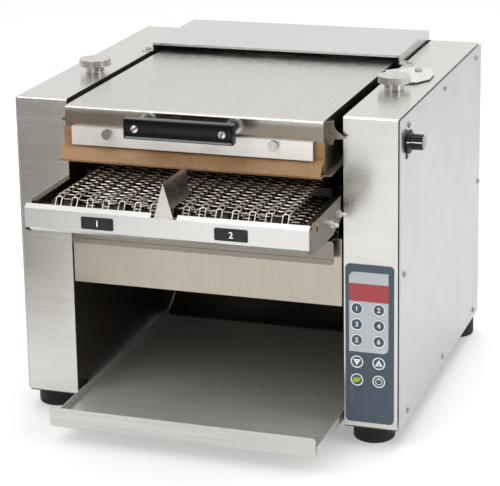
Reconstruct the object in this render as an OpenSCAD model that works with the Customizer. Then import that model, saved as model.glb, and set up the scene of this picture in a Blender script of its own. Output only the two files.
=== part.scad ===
// Conveyor bun toaster: two electrical towers, a wire belt between them,
// a height-adjustable heated upper housing, and a landing bay below.
// Millimetres, +Z up, +X to the right seen from the front, the front faces -Y.
// Everything is drawn from the towers' front face (y = 0) and the middle plane (x = 0),
// then moved so that the origin is the bottom centre of the whole envelope.

/* [Towers] */
// Width of one tower over its side panel
tower_width = 65; // [62:0.5:80]
// Depth of a tower
body_d = 423; // [410:1:460]
// Clear width between the two towers
bay_w = 330; // [300:1:360]
// Height of the towers' lower edge above the table
base_z = 25; // [22:1:27]
// Sheet metal thickness
sheet = 1.2; // [1:0.1:1.5]
// Radius of the folded outer edges
fold_r = 3; // [2:0.5:5]
// Thickness of a side panel with its hemmed border
panel_t = 2; // [1.5:0.1:2.5]
// Dark gap between a side panel and its tower
panel_gap = 1; // [0.6:0.1:1.5]
// Distance of the side panel's front and rear edges from the tower's faces
panel_inset = 2; // [1:0.5:5]
// Diameter of a pan head screw
screw_head_d = 7.6; // [6:0.1:8.5]
// Height of a pan head
screw_head_h = 2.4; // [1.5:0.1:3]

/* [Feet and base] */
// Diameter of a rubber foot
foot_d = 48; // [40:1:52]
// Distance of the front right foot outside the bay
foot_side_right = 26; // [24:1:40]
// Distance of the front left foot outside the bay
foot_side_left = 40; // [24:1:41]
// Distance of the rear feet outside the bay, on both sides
foot_side_rear = 40; // [24:1:41]
// Distance of the front feet behind the tower's front face
foot_inset = 35; // [28:1:50]
// Distance of the rear feet in front of the tower's rear face
foot_rear_inset = 25; // [25:1:28]
// Width of a cross bar of the base
cross_bar_w = 24; // [20:1:24]
// Thickness of a cross bar
cross_bar_t = 3; // [2:0.5:4]

/* [Conveyor] */
// Height of the belt's upper face above the crumb tray's rails
belt_rise = 57.5; // [50:0.5:70]
// Gap between the belt and the flange of an arm
belt_side_gap = 5.8; // [3:0.1:8]
// Outer radius of the belt where it turns
belt_turn_r = 16; // [14:0.5:18]
// Height of the belt's wire links
belt_t = 3; // [2:0.5:4]
// Pitch of the belt's links, along and across
belt_pitch = 12.5; // [11:0.5:16]
// Rows of open links on the loading zone
belt_rows = 12; // [4:1:12]
// Link columns on the loading zone
belt_columns = 24; // [8:1:24]
// Centre of the front turn, in front of the towers
belt_front_y = 97; // [92:1:100]
// Distance of the drive shaft in front of the upper housing's rear face
drive_inset = 23; // [20:1:28]
// Front face of the conveyor's front bar, in front of the towers
bar_front_y = 128; // [126:1:132]
// Gap between the conveyor and a tower
bar_gap = 1.7; // [1.2:0.1:3]
// Depth of the front bar's lower face edge below the belt's upper face
bar_drop = 31.5; // [29:0.5:33]
// Height of the front bar's face
bar_face_h = 22; // [20:0.5:23]
// Width of the notch in the bar's upper bevel
bar_notch_w = 30; // [28:1:40]
// Thickness of an arm plate
arm_t = 1.5; // [1.2:0.1:1.6]
// Diameter of the drive shaft
drive_shaft_d = 12; // [10:0.5:12]
// Diameter of the front idler shaft
idler_shaft_d = 8; // [6:0.5:10]
// Radial running clearance of every shaft
running_gap = 0.05; // [0.02:0.01:0.09]

/* [Lane divider] */
// Height of the divider from its foot to its ridge
divider_h = 41.4; // [30:0.2:43]
// Width of the divider at its foot
divider_w = 23.6; // [18:0.2:26]

/* [Upper housing] */
// Gap between the upper housing and a tower
housing_gap = 13; // [12:0.5:15]
// Front face of the upper housing, in front of the towers
housing_front_y = 33; // [30:1:36]
// Depth of the upper housing
housing_d = 318; // [310:1:319]
// Height of the upper housing
housing_h = 61; // [56:0.5:66]
// How far the upper housing stands above the towers' top face
housing_proud = 1; // [0:0.1:1.2]
// Height of the lane between the belt and the upper housing
lane_h = 23.5; // [20:0.5:30]
// Height of the tilt pins above the housing's lower edge
tilt_pin_rise = 33; // [30:1:36]
// Distance of the tilt pins in front of the housing's rear face
tilt_pin_inset = 10; // [9:1:12]
// Thickness of the upper platen
platen_t = 8; // [6:0.5:10]
// Thickness of the release sheet
release_t = 0.8; // [0.5:0.1:1]
// How far the release sheet bulges out in front of the housing
release_bulge = 18.5; // [14:0.5:19]
// Width of the clamp bar
clamp_w = 284; // [260:1:290]
// Height of the clamp bar above the housing's lower edge
clamp_rise = 18; // [17:0.5:19]
// Height of the clamp bar
clamp_h = 21; // [19:0.5:22]
// Distance of a clamp pin from the middle plane
clamp_pin_x = 97.8; // [85:0.2:110]
// Diameter of a clamp pin's head
clamp_pin_d = 11.5; // [9:0.5:13]

/* [Handle] */
// Length of the handle bar
handle_w = 127; // [115:1:135]
// Height of the handle bar
handle_h = 22.5; // [18:0.5:23]
// Depth of the handle bar's centre below the housing's top face
handle_drop = 10.5; // [10:0.1:11]
// Thickness of the handle bar
handle_t = 12; // [9:0.5:14]
// Front face of the handle bar, in front of the towers
handle_front_y = 78; // [75:1:84]
// Distance between the handle's two screws
handle_centres = 101.6; // [98:0.1:103]
// Diameter of a handle standoff
standoff_d = 12; // [9:0.5:13]

/* [Height adjustment] */
// Distance of the lead screws outside the bay
lift_screw_side = 22; // [20:0.5:26]
// Distance of the lead screws behind the towers' front face
lift_screw_y = 139.6; // [138:0.2:141]
// Diameter of a lead screw
lift_screw_d = 10; // [8:0.5:10]
// Travel of the upper housing below its rest height
lift_travel = 18; // [10:1:18]
// Diameter of a height knob
knob_d = 38.1; // [34:0.1:40]
// Thickness of a height knob's knurled disc
knob_disc_t = 8; // [6:0.5:9]
// Height of a height knob above the tower
knob_h = 17; // [15:0.5:20]
// Diameter of a height knob's neck
knob_neck_d = 23.2; // [20:0.2:26]

/* [Lower bay] */
// Height of the landing bay, from the towers' lower edge to the lower front plate
landing_h = 142; // [120:1:160]
// Height of the lower front plate
front_plate_h = 79; // [70:0.5:90]
// Gap between the lower front plate's face and a tower
front_plate_gap = 2.2; // [1.5:0.1:4]
// How far the crumb tray's lip stands in front of the towers
crumb_lip_y = 15; // [12:1:18]
// How far the crumb tray's lip hangs below its floor
crumb_lip_h = 26; // [20:1:30]
// Gap between the crumb tray and a tower
crumb_gap = 7.5; // [6:0.1:9]
// How far the landing tray reaches in front of the towers
tray_front_y = 96; // [80:1:105]
// Gap between the landing tray and a tower
tray_gap = 6; // [4:0.5:9]
// Height of the landing tray's lip
tray_lip_h = 22.5; // [16:0.5:26]
// Height of the landing tray's side flanges
tray_side_h = 10; // [8:0.5:14]
// Radius of the return chute's curve
chute_r = 60; // [55:1:66]
// How far the return chute reaches above the housing's lower edge
chute_rise = 3; // [1:0.5:6]

/* [Controls] */
// Width of the keypad overlay
keypad_w = 55.8; // [54:0.2:56]
// Height of the keypad overlay
keypad_h = 187.5; // [180:0.5:188]
// Height of the keypad overlay's lower edge above the tower's lower edge
keypad_rise = 6; // [4:0.5:8]
// Thickness of the keypad overlay
keypad_t = 1.4; // [1.3:0.1:1.6]
// Diameter of a key
key_d = 15; // [13:0.1:15.4]
// Horizontal pitch of the keys
key_pitch = 25.4; // [24:0.1:26]
// How far a key stands proud of the overlay
key_proud = 0.3; // [0.2:0.1:0.5]
// Depth of the side dial's axis below the tower's top face
dial_drop = 30.6; // [29:0.2:34]
// Distance of the side dial behind the tower's front face
dial_y = 27; // [25:0.5:28]
// How far the side dial reaches outside the side panel
dial_reach = 21; // [18:0.5:24]
// Diameter of the side dial's skirt
dial_skirt_d = 27; // [24:0.5:28]

/* [Hidden] */
$fn = 48;

steel = "#d2d2d0";
dark_steel = "#5b5a57";
black = "#1c1c1d";
brown = "#b5875f";

// Sides of the machine: -1 left, 1 right
LEFT = -1;
RIGHT = 1;

// Heights, stacked from the towers' lower edge to their top
front_plate_z = base_z + landing_h;
front_plate_top = front_plate_z + front_plate_h;
belt_top = front_plate_top + belt_rise;
housing_bottom = belt_top + lane_h;
housing_top = housing_bottom + housing_h;
body_top = housing_top - housing_proud;
bar_face_z = belt_top - bar_drop;
tilt_pin_z = housing_bottom + tilt_pin_rise;
clamp_z = housing_bottom + clamp_rise;
handle_z = housing_top - handle_drop;
chute_top = housing_bottom + chute_rise;

// Faces and planes of the towers
bay_x = bay_w / 2;
panel_out_x = bay_x + tower_width;
panel_in_x = panel_out_x - panel_t;
shell_x = panel_in_x - panel_gap;
wall_out_x = bay_x + sheet;
tower_w = shell_x - bay_x;
seam_flange_w = 26;
touch = 0.01;

// The whole envelope is centred on the origin: screw heads to side dial, lane plates to gland
label_t = 0.6;
gland_reach = 10;
origin_x = (dial_reach - screw_head_h) / 2;
origin_y = (body_d + gland_reach - bar_front_y - label_t) / 2;

// Screw places on a side panel
panel_row_y = [36, body_d / 2 + 2.5, body_d - 33];
panel_top_row_z = body_top - 13.6;
panel_low_row_z = base_z + 11;
panel_mid_z = (body_top + base_z) / 2;
panel_mid_y = [16.3, body_d - 12.7];
washer_d = 9;

// Base
pan_t = 1.5;
pan_inset = 0.4;
tray_floor_z = base_z - pan_t;
foot_h = tray_floor_z - cross_bar_t;
foot_x_right = bay_x + foot_side_right;
foot_x_left = bay_x + foot_side_left;
foot_x_rear = bay_x + foot_side_rear;
foot_y = [foot_inset, body_d - foot_rear_inset];
foot_rows = [[-foot_x_left, foot_x_right, foot_y[0]], [-foot_x_rear, foot_x_rear, foot_y[1]]];
foot_bolt_d = 6;
foot_recess_d = 14;
foot_recess_h = 10;

// Conveyor arms
housing_rear_y = housing_d - housing_front_y;
drive_y = housing_rear_y - drive_inset;
arm_out_x = bay_x - bar_gap;
arm_in_x = arm_out_x - arm_t;
arm_flange_w = 6;
arm_top_z = belt_top - 5.9;
bar_w = 2 * arm_out_x;

// Belt
belt_w = 2 * (arm_in_x - arm_flange_w - belt_side_gap);
belt_z = belt_top - belt_turn_r;
belt_inner_r = belt_turn_r - belt_t;
roller_gap = 0.4;
roller_r = belt_inner_r - roller_gap;
link_opening = 9.4;
belt_end_y = drive_y + belt_turn_r;

// Studs on the arms, at a distance from the towers' face and below the belt's upper face
stud_places = [[-50, belt_top - 25.5], [-19, belt_top - 22.5]];
stud_d = 5;
stud_proud = 10;
nut_af = 8;
nut_h = 4;
bush_wall = 2;
bush_rim = 0.8;

// Platens
platen_w = belt_w - 4;
platen_gap = 0.3;
lower_platen_t = 10;
heater_d = 8;
lower_heater_y = [for (i = [0:3]) 40 + i * 55];
upper_heater_y = [for (i = [0:3]) 30 + i * 65];
lug_w = 14;
lower_lug_y = [40, 190];
upper_lug_y = [20, 220];

// Upper housing
housing_x = bay_x - housing_gap;
housing_w = 2 * housing_x;
tilt_pin_y = housing_rear_y - tilt_pin_inset;
tilt_pin_d = 8;
release_z = housing_bottom + 0.6;
release_front_y = -housing_front_y - release_bulge;
upper_platen_z = release_z + release_t;
clamp_face_y = -housing_front_y - 7;
clamp_pin_z = clamp_z + 15;
clamp_pin_shank_d = 6;
pin_gap = 0.2;
standoff_back_y = -housing_front_y;

// Height adjustment
lift_screw_x = bay_x + lift_screw_side;
knob_top_z = body_top + knob_h;
collar_flange_h = 1.5;
collar_d = 14;
screw_foot_z = body_top - 87;
nut_block_w = 23;
nut_block_z = housing_bottom + 9;
nut_block_h = 22;
bracket_x = wall_out_x + 1.3;
bracket_t = 3;
rest_pin_d = 8;
rest_pin_z = housing_bottom - rest_pin_d / 2;

// Rear top cover
cover_front_y = housing_rear_y - 18;
cover_top_z = body_top + 12;
cover_x = bay_x - 3.5;
cover_tab_w = 15.5;
cover_tab_d = 21;

// Lower bay
plate_x = bay_x - front_plate_gap;
deck_end_y = drive_y + 18;
tray_x = bay_x - tray_gap;
tray_back_y = drive_y + 29.5;
chute_front_y = tray_back_y + 0.5;
chute_back_y = chute_front_y + chute_r;
crumb_x = bay_x - crumb_gap;
crumb_lip_z = front_plate_top - crumb_lip_h;
crumb_back_y = drive_y + 13;
crumb_side_h = 8;
chute_slot_w = 4;

// Controls: the keys sit in a grid on the right tower's front
keypad_x = bay_x + 2;
keypad_z = base_z + keypad_rise;
dial_z = body_top - dial_drop;
key_col_x = [keypad_x + 13.4, keypad_x + 13.4 + key_pitch];
key_row_z = [keypad_z + 136, keypad_z + 117.3, keypad_z + 98.5, keypad_z + 72.6, keypad_z + 51];
key_gap = 0.3;
key_travel_gap = 0.5;
dial_shaft_d = 6;
dial_bush_d = 10;
dial_back_x = panel_out_x + 2;

// ---------- helpers ----------

// Move a piece from the towers' front face to the origin of the whole object
module in_frame() {
    translate([-origin_x, -origin_y, 0]) children();
}

// Mirror a right-hand piece to the left
module on_side(side) {
    mirror([side == LEFT ? 1 : 0, 0, 0]) children();
}

// Extrude an outline drawn in (y, z) along X, from x0 over a width
module side_outline(x0, width) {
    translate([x0, 0, 0]) rotate([90, 0, 90]) linear_extrude(width) children();
}

// Extrude an outline drawn in (x, z) along Y, from y0 backwards over a depth
module front_outline(y0, depth) {
    translate([0, y0 + depth, 0]) rotate([90, 0, 0]) linear_extrude(depth) children();
}

// A box between two corners
module block(low, high) {
    translate(low) cube(high - low);
}

// A cylinder along X, Y or Z from a point
module rod_x(from, length, d) {
    translate(from) rotate([0, 90, 0]) cylinder(d = d, h = length);
}

module rod_y(from, length, d) {
    translate(from) rotate([-90, 0, 0]) cylinder(d = d, h = length);
}

module rod_z(from, length, d) {
    translate(from) cylinder(d = d, h = length);
}

// A rectangle with four round corners
module rounded_rectangle(low, high, r) {
    translate(low + [r, 0]) square([high.x - low.x - 2 * r, high.y - low.y]);
    translate(low + [0, r]) square([high.x - low.x, high.y - low.y - 2 * r]);
    for (x = [low.x + r, high.x - r], y = [low.y + r, high.y - r])
        translate([x, y]) circle(r = r);
}

// A rectangle whose two upper corners are round
module arched_rectangle(low, high, r) {
    translate(low) square([high.x - low.x, high.y - low.y - r]);
    translate([low.x + r, high.y - 2 * r]) square([high.x - low.x - 2 * r, 2 * r]);
    for (x = [low.x + r, high.x - r])
        translate([x, high.y - r]) circle(r = r);
}

// A pan head with its short shank, pointing along +X at the origin
module pan_screw_x(shank) {
    rod_x([0, 0, 0], screw_head_h, screw_head_d);
    rod_x([-shank, 0, 0], shank + touch, 4);
}

// ---------- towers ----------

// Front, top and rear of a tower folded from one sheet, with a border for the side panel
module tower_shell(side) {
    color(steel) on_side(side) difference() {
        union() {
            side_outline(bay_x, tower_w) difference() {
                arched_rectangle([0, base_z], [body_d, body_top], fold_r);
                arched_rectangle([sheet, base_z - 1], [body_d - sheet, body_top - sheet],
                    fold_r - sheet);
            }
            side_outline(shell_x - sheet, sheet) difference() {
                arched_rectangle([0, base_z], [body_d, body_top], fold_r);
                translate([seam_flange_w, base_z + seam_flange_w])
                    square([body_d - 2 * seam_flange_w, body_top - base_z - 2 * seam_flange_w]);
            }
        }
        rod_z([lift_screw_x, lift_screw_y, body_top - 20], 40, collar_d + 2 * running_gap);
        panel_screw_holes(shell_x - 5);
        if (side == RIGHT) {
            rod_z([latch_x, latch_y, body_top - 10], 20, latch_screw_d + 0.4);
            rod_x([shell_x - 20, dial_y, dial_z], 30, dial_bush_d + 1);
        }
        for (x = [cover_screw_x])
            rod_z([x, cover_screw_y, body_top - 10], 20, 4.2);
    }
}

// Holes for the eight screws of one side panel
module panel_screw_holes(x0) {
    for (place = panel_screw_places)
        rod_x([x0, place.x, place.y], 20, 4.2);
}

panel_screw_places = concat(
    [for (y = panel_row_y) [y, panel_top_row_z]],
    [for (y = panel_row_y) [y, panel_low_row_z]],
    [for (y = panel_mid_y) [y, panel_mid_z]]);

// Chassis wall towards the bay, with the slots and holes of what passes through
module inner_wall(side) {
    color(dark_steel) on_side(side) difference() {
        side_outline(bay_x, sheet)
            arched_rectangle([sheet, base_z], [body_d - sheet, body_top - sheet], fold_r - sheet);
        // slots for the tilt pin and the rest pin, as long as the lift travel
        pin_slot(tilt_pin_y, tilt_pin_z, tilt_pin_d);
        pin_slot(lift_screw_y, rest_pin_z, rest_pin_d);
        if (side == RIGHT)
            rod_x([bay_x - 1, drive_y, belt_z], 5, drive_shaft_d + 2);
        // curved slit that follows the return chute
        side_outline(bay_x - 1, sheet + 2) intersection() {
            translate([chute_front_y, tray_floor_z + chute_r]) difference() {
                circle(r = chute_r + chute_slot_w);
                circle(r = chute_r);
            }
            translate([chute_front_y, base_z + 2]) square([chute_r * 0.8, chute_r * 0.45]);
        }
    }
}

// Vertical slot with round ends for a pin that rides with the lift
module pin_slot(y, z, d) {
    slot_gap = 0.6;
    side_outline(bay_x - 1, sheet + 2) {
        translate([y - d / 2 - slot_gap, z - lift_travel]) square([d + 2 * slot_gap, lift_travel]);
        for (end_z = [z, z - lift_travel])
            translate([y, end_z]) circle(d = d + 2 * slot_gap);
    }
}

// Flat outer panel with a spacer washer behind each screw
module side_panel(side) {
    color("#cfcfd1") on_side(side) difference() {
        union() {
            block([panel_in_x, panel_inset, base_z],
                [panel_out_x, body_d - panel_inset, body_top - panel_inset]);
            for (place = panel_screw_places)
                rod_x([shell_x, place.x, place.y], panel_gap + touch, washer_d);
        }
        panel_screw_holes(shell_x - 1);
        if (side == RIGHT)
            rod_x([shell_x - 1, dial_y, dial_z], 10, dial_bush_d + 1);
    }
}

// The case screws: side panels, rear top cover and lower front plate, and the foot bolts
module case_screws() {
    color(steel) {
        for (side = [LEFT, RIGHT], place = panel_screw_places)
            on_side(side) translate([panel_out_x, place.x, place.y]) pan_screw_x(8);
        for (side = [LEFT, RIGHT])
            on_side(side) translate([cover_screw_x, cover_screw_y, body_top + sheet])
                rotate([0, -90, 0]) pan_screw_x(6);
        for (side = [LEFT, RIGHT])
            on_side(side) translate([plate_screw_x, plate_screw_y, front_plate_z])
                rotate([0, 90, 0]) pan_screw_x(5);
        foot_places() {
            rod_z([0, 0, foot_recess_h - 4], 4, 11);
            rod_z([0, 0, foot_recess_h - touch], base_z + 7 - foot_recess_h, foot_bolt_d);
            rod_z([0, 0, base_z], 5, 11);
        }
    }
}

cover_screw_x = bay_x + 6;
cover_screw_y = cover_front_y + cover_tab_d / 2;
plate_screw_x = 108;
plate_screw_y = 14;

// Welded floor: an open pan under each tower and two flat cross bars
module base_frame() {
    color(dark_steel) difference() {
        union() {
            for (side = [LEFT, RIGHT]) on_side(side)
                block([bay_x + pan_inset, pan_inset, tray_floor_z],
                    [shell_x - pan_inset, body_d - pan_inset, base_z]);
            for (row = foot_rows)
                block([row[0] - cross_bar_w / 2, row[2] - cross_bar_w / 2, foot_h],
                    [row[1] + cross_bar_w / 2, row[2] + cross_bar_w / 2, tray_floor_z]);
        }
        for (side = [LEFT, RIGHT]) on_side(side)
            block([wall_out_x + 5, foot_y[0] + 26, tray_floor_z - 1],
                [shell_x - 6, foot_y[1] - 26, base_z + 1]);
        foot_places() rod_z([0, 0, foot_h - 1], 20, foot_bolt_d + 0.4);
    }
}

// Puts a child at each of the four feet
module foot_places() {
    for (row = foot_rows, x = [row[0], row[1]])
        translate([x, row[2], 0]) children();
}

// Rubber feet with a round lower edge and a recess for the bolt
module feet() {
    edge_r = 3;
    color(black) foot_places() rotate_extrude() difference() {
        union() {
            translate([0, edge_r]) square([foot_d / 2, foot_h - edge_r]);
            square([foot_d / 2 - edge_r, foot_h]);
            translate([foot_d / 2 - edge_r, edge_r]) circle(r = edge_r);
        }
        translate([-foot_d, -1]) square([foot_d, foot_h + 2]);
        translate([0, -1]) square([foot_recess_d / 2, foot_recess_h + 1]);
        translate([0, -1]) square([foot_bolt_d / 2 + 0.2, foot_h + 2]);
    }
}

// Rear wall between the towers with rows of vent slots and the cable hole
module rear_panel() {
    vent_h = 4;
    vent_w = 40;
    color(steel) difference() {
        block([-bay_x, body_d - 2 * sheet, rear_panel_z], [bay_x, body_d - sheet, body_top]);
        for (x = [-110, -55, 0, 55, 110], row = [0:5])
            block([x - vent_w / 2, body_d - 5, rear_panel_z + 130 + row * 16],
                [x + vent_w / 2, body_d + 5, rear_panel_z + 130 + row * 16 + vent_h]);
        rod_y([gland_x, body_d - 10, gland_z], 20, gland_hole_d + 0.4);
    }
}

rear_panel_z = base_z + 75;
gland_x = bay_x - 45;
gland_z = rear_panel_z + 35;
gland_hole_d = 20;

// Cable gland without a cable: a flange, a hexagon nut inside and a clear bore
module cord_gland() {
    color(black) difference() {
        union() {
            rod_y([gland_x, body_d - sheet, gland_z], 3, 28);
            rod_y([gland_x, body_d - 12, gland_z], 12 + gland_reach, gland_hole_d);
            translate([gland_x, body_d - 2 * sheet - 5, gland_z]) rotate([-90, 0, 0])
                cylinder(d = 28, h = 5, $fn = 6);
        }
        rod_y([gland_x, body_d - 20, gland_z], 40, 9);
    }
}

// Raised cover over the rear of the bay, with a hemmed front edge and two screw tabs
module rear_top_cover() {
    hem = 3;
    color(steel) difference() {
        union() {
            block([-cover_x, cover_front_y, cover_top_z - sheet],
                [cover_x, body_d, cover_top_z]);
            block([-cover_x, cover_front_y, cover_top_z - hem],
                [cover_x, cover_front_y + sheet, cover_top_z]);
            for (side = [LEFT, RIGHT]) on_side(side) {
                block([cover_x - sheet, cover_front_y, body_top],
                    [cover_x, body_d, cover_top_z]);
                block([cover_x - sheet, cover_front_y, body_top],
                    [cover_x + cover_tab_w, cover_front_y + cover_tab_d, body_top + sheet]);
            }
            block([-cover_x, body_d - sheet, body_top - 12], [cover_x, body_d, cover_top_z]);
        }
        for (side = [LEFT, RIGHT]) on_side(side)
            rod_z([cover_screw_x, cover_screw_y, body_top - 5], 10, 4.2);
    }
}

// ---------- lower bay ----------

// Plate below the conveyor, folded back into the deck that carries the crumb tray
module lower_front_plate() {
    rail_h = front_plate_h;
    rail_w = 15;
    color(steel) difference() {
        union() {
            block([-plate_x, 0, front_plate_z], [plate_x, sheet, front_plate_top]);
            block([-plate_x, 0, front_plate_z], [plate_x, 12, front_plate_z + sheet]);
            block([-bay_x, 8, front_plate_z], [bay_x, deck_end_y, front_plate_z + sheet]);
            for (side = [LEFT, RIGHT]) on_side(side) {
                block([bay_x - sheet, 8, front_plate_z], [bay_x, deck_end_y, front_plate_z + rail_h]);
                block([bay_x - rail_w, 8, front_plate_z + rail_h - sheet],
                    [bay_x, deck_end_y, front_plate_z + rail_h]);
            }
        }
        for (side = [LEFT, RIGHT]) on_side(side)
            rod_z([plate_screw_x, plate_screw_y, front_plate_z - 5], 10, 4.2);
    }
}

// Curved sheet that turns the falling bun round onto the landing tray
module return_chute() {
    chute_x = bay_x - sheet;
    color(dark_steel) {
        side_outline(-chute_x, 2 * chute_x) {
            intersection() {
                translate([chute_front_y, tray_floor_z + chute_r]) difference() {
                    circle(r = chute_r);
                    circle(r = chute_r - sheet);
                }
                translate([chute_front_y, tray_floor_z]) square([chute_r, chute_r]);
            }
            translate([chute_back_y - sheet, tray_floor_z + chute_r])
                square([sheet, chute_top - tray_floor_z - chute_r]);
        }
        for (side = [LEFT, RIGHT]) on_side(side)
            block([chute_x - sheet, chute_back_y - sheet, tray_floor_z + chute_r + 30],
                [bay_x, chute_back_y + 14, chute_top]);
    }
}

// Tray on the base bars: a tall front lip with round corners and low side flanges
module landing_tray() {
    color("#a9a69f") {
        front_outline(-tray_front_y, sheet)
            rounded_rectangle([-tray_x, tray_floor_z], [tray_x, tray_floor_z + tray_lip_h], 4);
        block([-tray_x + 4, -tray_front_y, tray_floor_z],
            [tray_x - 4, tray_back_y, tray_floor_z + sheet]);
        block([-tray_x, -tray_front_y + 5, tray_floor_z],
            [tray_x, tray_back_y, tray_floor_z + sheet]);
        for (side = [LEFT, RIGHT]) on_side(side)
            block([tray_x - sheet, -tray_front_y + 5, tray_floor_z],
                [tray_x, tray_back_y, tray_floor_z + tray_side_h]);
    }
}

// Shallow tray under the belt; its hanging lip is the pull
module crumb_tray() {
    corner_r = 3;
    floor_z = front_plate_top;
    color(steel) {
        front_outline(-crumb_lip_y, sheet)
            rounded_rectangle([-crumb_x, crumb_lip_z], [crumb_x, floor_z + sheet], corner_r);
        front_outline(-crumb_lip_y - 0.8, 0.8 + touch)
            rounded_rectangle([-crumb_x, crumb_lip_z], [crumb_x, crumb_lip_z + 6], 2.9);
        block([-crumb_x + corner_r, -crumb_lip_y, floor_z],
            [crumb_x - corner_r, crumb_back_y, floor_z + sheet]);
        block([-crumb_x, 4, floor_z], [crumb_x, crumb_back_y, floor_z + sheet]);
        for (side = [LEFT, RIGHT]) on_side(side)
            block([crumb_x - sheet, 4, floor_z], [crumb_x, crumb_back_y, floor_z + crumb_side_h]);
        block([-crumb_x, crumb_back_y - sheet, floor_z],
            [crumb_x, crumb_back_y, floor_z + crumb_side_h]);
    }
}

// ---------- conveyor ----------

// Folded bar in front of the belt, its upper bevel notched for the divider
module conveyor_front_bar() {
    bevel = 5.5;
    face_top = bar_face_z + bar_face_h;
    bevel_top = face_top + 4;
    color(steel) difference() {
        side_outline(-bar_w / 2, bar_w) polygon([
            [-bar_front_y, bar_face_z], [-bar_front_y, face_top],
            [-bar_front_y + bevel, bevel_top], [-bar_front_y + bevel + sheet, bevel_top - sheet],
            [-bar_front_y + sheet, face_top - 0.6], [-bar_front_y + sheet, bar_face_z + 0.6],
            [-bar_front_y + 8, bar_face_z - 4], [-bar_front_y + 7.5, bar_face_z - 5.2]]);
        block([-bar_notch_w / 2, -bar_front_y + sheet, face_top - 0.6],
            [bar_notch_w / 2, -bar_front_y + 20, bevel_top + 1]);
        block([-bar_notch_w / 2, -bar_front_y - 1, face_top],
            [bar_notch_w / 2, -bar_front_y + 20, bevel_top + 1]);
        for (side = [LEFT, RIGHT]) on_side(side)
            block([bar_w / 2 - 4, -bar_front_y + sheet, bar_face_z - 10],
                [bar_w / 2 + 1, -bar_front_y + 20, bar_face_z + 0.6]);
    }
}

// Side frame of the conveyor: a plate with a top flange, bosses to the wall and shaft holes
module conveyor_arm(side) {
    front_y = -bar_front_y + sheet;
    rail_low_z = belt_z - belt_turn_r - 1.5;
    rail_end_y = drive_y + 16;
    color("#b9b6ac") on_side(side) difference() {
        union() {
            side_outline(arm_in_x, arm_t) polygon([
                [front_y, bar_face_z - 4], [front_y, bar_face_z + bar_face_h - 1],
                [-bar_front_y + 14, bar_face_z + bar_face_h - 1], [-bar_front_y + 18, arm_top_z],
                [rail_end_y, arm_top_z], [rail_end_y, rail_low_z], [-8, rail_low_z],
                [-36, rail_low_z - 8], [-104, rail_low_z - 8], [-118, rail_low_z - 5]]);
            block([arm_in_x - arm_flange_w, -bar_front_y + 18, arm_top_z - sheet],
                [arm_out_x, rail_end_y, arm_top_z]);
            for (y = [30, 200])
                rod_x([arm_in_x, y, belt_z], bay_x - arm_in_x, 12);
        }
        for (place = stud_places)
            rod_x([arm_in_x - 5, place.x, place.y], 10, stud_d);
        rod_x([arm_in_x - 5, -belt_front_y, belt_z], 10, idler_shaft_d + 2 * bush_wall);
        rod_x([arm_in_x - 5, drive_y, belt_z], 10, drive_shaft_d + 2 * bush_wall);
    }
}

// Two studs with nuts on each arm
module arm_studs() {
    color(steel) for (side = [LEFT, RIGHT], place = stud_places) on_side(side) {
        rod_x([arm_in_x - 2, place.x, place.y], 2, nut_af);
        rod_x([arm_in_x - 2, place.x, place.y], arm_t + 2 + stud_proud, stud_d);
        translate([arm_out_x, place.x, place.y]) rotate([0, 90, 0])
            cylinder(d = nut_af / cos(30), h = nut_h, $fn = 6);
    }
}

// Blank lane plates on the front bar
module lane_plates() {
    plate_size = [37.8, 14];
    plate_x = 77;
    plate_z = bar_face_z + 3.3;
    color(black) for (side = [LEFT, RIGHT])
        front_outline(-bar_front_y - label_t, label_t)
            rounded_rectangle([side * plate_x - plate_size.x / 2, plate_z],
                [side * plate_x + plate_size.x / 2, plate_z + plate_size.y], 2.5);
}

// Outline of the belt loop in (y, z) at a given turning radius
module belt_loop(r) {
    translate([-belt_front_y, belt_z - r]) square([drive_y + belt_front_y, 2 * r]);
    for (y = [-belt_front_y, drive_y])
        translate([y, belt_z]) circle(r = r);
}

// Wire belt: one closed band, with open links on the loading zone
module wire_belt() {
    wire_w = belt_pitch - link_opening;
    net_w = belt_columns * belt_pitch - wire_w;
    color("#8d8780") difference() {
        side_outline(-belt_w / 2, belt_w) difference() {
            belt_loop(belt_turn_r);
            belt_loop(belt_inner_r);
        }
        for (column = [0:belt_columns - 1], row = [0:belt_rows - 1])
            translate([-net_w / 2 + column * belt_pitch, -belt_front_y + row * belt_pitch,
                    belt_top - belt_t - 1])
                cube([link_opening, link_opening, belt_t + 2]);
    }
}

// Flanged bushes of both shafts in both arms
module shaft_bushes() {
    flange_t = 1.5;
    color("#b08d57") for (side = [LEFT, RIGHT]) on_side(side) {
        shaft_bush(-belt_front_y, idler_shaft_d, flange_t);
        shaft_bush(drive_y, drive_shaft_d, flange_t);
    }
}

module shaft_bush(y, shaft_d, flange_t) {
    difference() {
        union() {
            rod_x([arm_in_x - flange_t, y, belt_z], flange_t, shaft_d + 2 * (bush_wall + bush_rim));
            rod_x([arm_in_x - flange_t, y, belt_z], flange_t + arm_t, shaft_d + 2 * bush_wall);
        }
        rod_x([arm_in_x - 5, y, belt_z], 20, shaft_d + 2 * running_gap);
    }
}

// Shaft that drives the belt, with its sprockets, reaching into the gearmotor
module drive_shaft() {
    color("#9a9a98") {
        rod_x([-arm_out_x, drive_y, belt_z], arm_out_x + motor_x + motor_socket, drive_shaft_d);
        for (x = [-120:60:120]) belt_sprocket(x, drive_y);
    }
}

// Front shaft with plain rollers
module idler_shaft() {
    color("#9a9a98") {
        rod_x([-arm_out_x, -belt_front_y, belt_z], 2 * arm_out_x, idler_shaft_d);
        for (x = [-120:60:120])
            rod_x([x - 6, -belt_front_y, belt_z], 12, 2 * roller_r);
    }
}

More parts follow.
